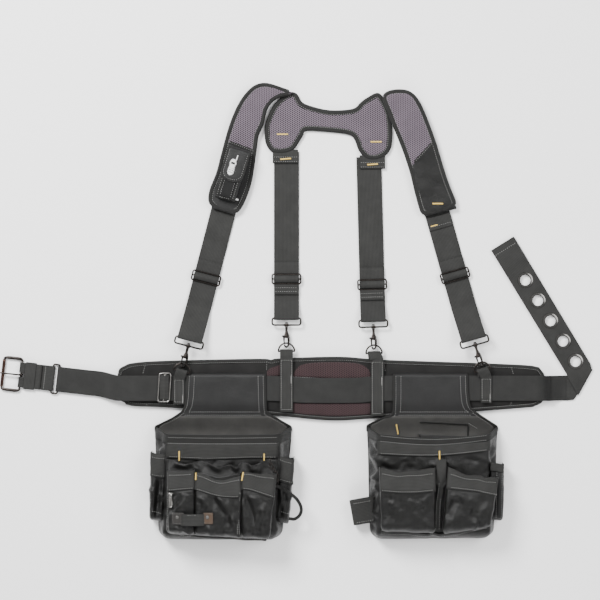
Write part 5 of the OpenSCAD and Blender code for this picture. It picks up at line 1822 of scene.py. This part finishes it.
def phone_pouch():
    body = "harness"
    across = phone_at([(1, 0, 0)])[0] - phone_at([(0, 0, 0)])[0]
    pouch = Pocket([(-21.5, 51), (21.5, 51)], [(-20.5, -51), (20.5, -51)], low=PHONE_Z + 0.4,
                   high=PHONE_Z + 18.2, mouth_high=PHONE_Z + 17.8, radius=6, bottom_round=9,
                   fabric=Fabric([(-12, -30, -6, -48, 4, 1.2), (12, -14, 15, -44, 4, -1.2)], uneven=0.7,
                                 seed=12), place=PHONE_PLACE, corner=7)
    pouch.shell("phone_pouch_cloth", NYLON, body, "phone_pouch", across=48, along=48)
    back = [phone_at([(x, y, 0.9) for x in np.linspace(-21, 21, 14)]) for y in np.linspace(-50, 53, 24)]
    shell_grid("phone_pouch_back", np.array(back), 0.8, NYLON, body, "nylon")
    pouch.band("phone_loop_tape", -12, 11, constant(-12), constant(-47), 0.2, 1.0, FUZZ, body, "nylon",
               columns=20)
    stitches = []
    for x in (-16.5, 15.5):
        path = pouch.on([(x, 46), (x, -46)], 0.9)
        ride(strap(f"phone_tape_{'a' if x < 0 else 'b'}", level(path, 6), across, 7, 1.4, material=TAPE),
             body, slot="webbing")
        stitches += stitch_pairs(level(path, 6) + (0, 0, 0.9))
    stitches += stitch_pairs(pouch.on([(-12, -46), (11, -46)], 1.6))
    for x in (-11, 10):
        stitches += stitch_pairs(pouch.on([(x, -14), (x, -45)], 1.6))
    tag = [phone_at([(x, y, 3.0 + (22 - x) * 0.4) for x in (19.5, 22.5, 26)]) for y in (-45, -41)]
    shell_grid("phone_tag", np.array(tag), 0.7, WHITE_THREAD, body, "nylon")
    segments("phone_pouch_stitches", stitches, 0.4, GREY_THREAD, body)
    phone_flap()


def phone_flap():
    """The flap turns about its rolled hem, beyond the pouch's open end."""
    body = "phone_flap"
    hem = phone_at([(x, 53.3, 1.3) for x in np.linspace(-21.8, 21.8, 12)])
    ride(sweep("phone_flap_hem", hem, (0, 0, 1), round_profile(2.4, 2.4, 12), TAPE), body, slot="nylon")
    profile = smooth_path(np.array([(0, 53.6, 1.6), (0, 54.3, 8), (0, 54.2, 15), (0, 52.8, 19.4),
                                    (0, 49, 20.9), (0, 20, 21.3), (0, -4, 21.0), (0, -12, 20.4)], float),
                          2.2)[:, 1:]
    end = profile[-1, 0]
    grid = []
    for y, z in profile[::-1]:
        near = np.clip((end + 17 - y) / 17, 0, 1)
        half = 21.6 - 17 * (1 - math.sqrt(max(0.0, 1 - near ** 2)))
        half = max(half, 5)
        row = [(half * t, y, z + 0.5 * math.cos(t * math.pi / 2) - 0.8 * abs(t) ** 6 * (z > 17)) for t in
               np.linspace(-1, 1, 31)]
        grid.append(phone_at(row))
    grid = np.array(grid)
    grid[..., 2] += ripple(grid[..., :2].reshape(-1, 2), 18, 4).reshape(grid.shape[:2]) * 0.5
    piece = shell_grid("phone_flap_cloth", grid, 1.2, NYLON, body, "nylon")
    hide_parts("phone_flap")
    declare_cloth(piece)
    upper = grid[:-6]
    rim = np.vstack([upper[::-1, 0], upper[0, 1:-1], upper[:, -1]])
    tape = sweep("phone_flap_binding", level(rim - (0, 0, 0.5), 2), (0, 0, 1), round_profile(3.4, 4.2, 10),
                 TAPE)
    ride(tape, body, slot="webbing")
    drape = Drape(piece)
    middle = rim.mean(0)
    inner = rim.copy()
    inner[:, :2] = middle[:2] + (rim[:, :2] - middle[:2]) * 0.86
    segments("phone_flap_stitches", stitch_pairs(drape.lay(inner, 0.4, 35.8)), 0.4, GREY_THREAD, body)
    pictogram(drape, body)


def pictogram(drape, body):
    """A plain handset worked in white thread: satin stitches filling its outline."""
    middle, half, tall = np.array([-4.5, 15.0]), 6.8, 16.0
    rows = []
    for y in np.arange(-tall, tall + 0.01, 0.85):
        round_end = max(0.0, abs(y) - (tall - 5))
        wide = half - (5 - math.sqrt(max(0.0, 25 - round_end ** 2)))
        gaps = []
        if 5.5 < y < 9.5:
            gaps = [(-3.6, 3.6)]
        for key_y in (-10.5, -6.5, -2.5):
            if abs(y - key_y) < 0.7:
                gaps = [(-3.9, -2.3), (-0.8, 0.8), (2.3, 3.9)]
        edges = [-wide] + [g for pair in gaps for g in pair] + [wide]
        for a, b in zip(edges[::2], edges[1::2]):
            rows.append(((middle[0] + a, middle[1] + y, 0), (middle[0] + b, middle[1] + y, 0)))
    for y in np.arange(tall - 1, tall + 10, 0.85):
        rows.append(((middle[0] + 3.4, middle[1] + y, 0), (middle[0] + 5.8, middle[1] + y, 0)))
    pairs = [tuple(drape.lay(phone_at([a, b]), 0.35, 36.0)) for a, b in rows]
    segments("handset_pictogram", pairs, 0.62, WHITE_THREAD, body)


# ---- what is made ----
def main():
    add_camera()
    add_stage()
    for name in STRAPS:
        suspender_strap(name)
        slider_and_fold(name)
        hanging_hardware(name)
        ring_tab(name)
    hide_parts("ring_tabs")
    belt_pad()
    yoke()
    shoulder_pads()
    left_pouch()
    right_pouch()
    phone_pouch()
    tape_clip()
    belt_strap()
    belt_tail()
    buckle()
    keeper()
    belt_slider()
    for node in ("grommets", "rivets"):
        for holder in NODES[node].material_slots:
            holder.material = DARK_NICKEL if node == "grommets" else NICKEL


main()
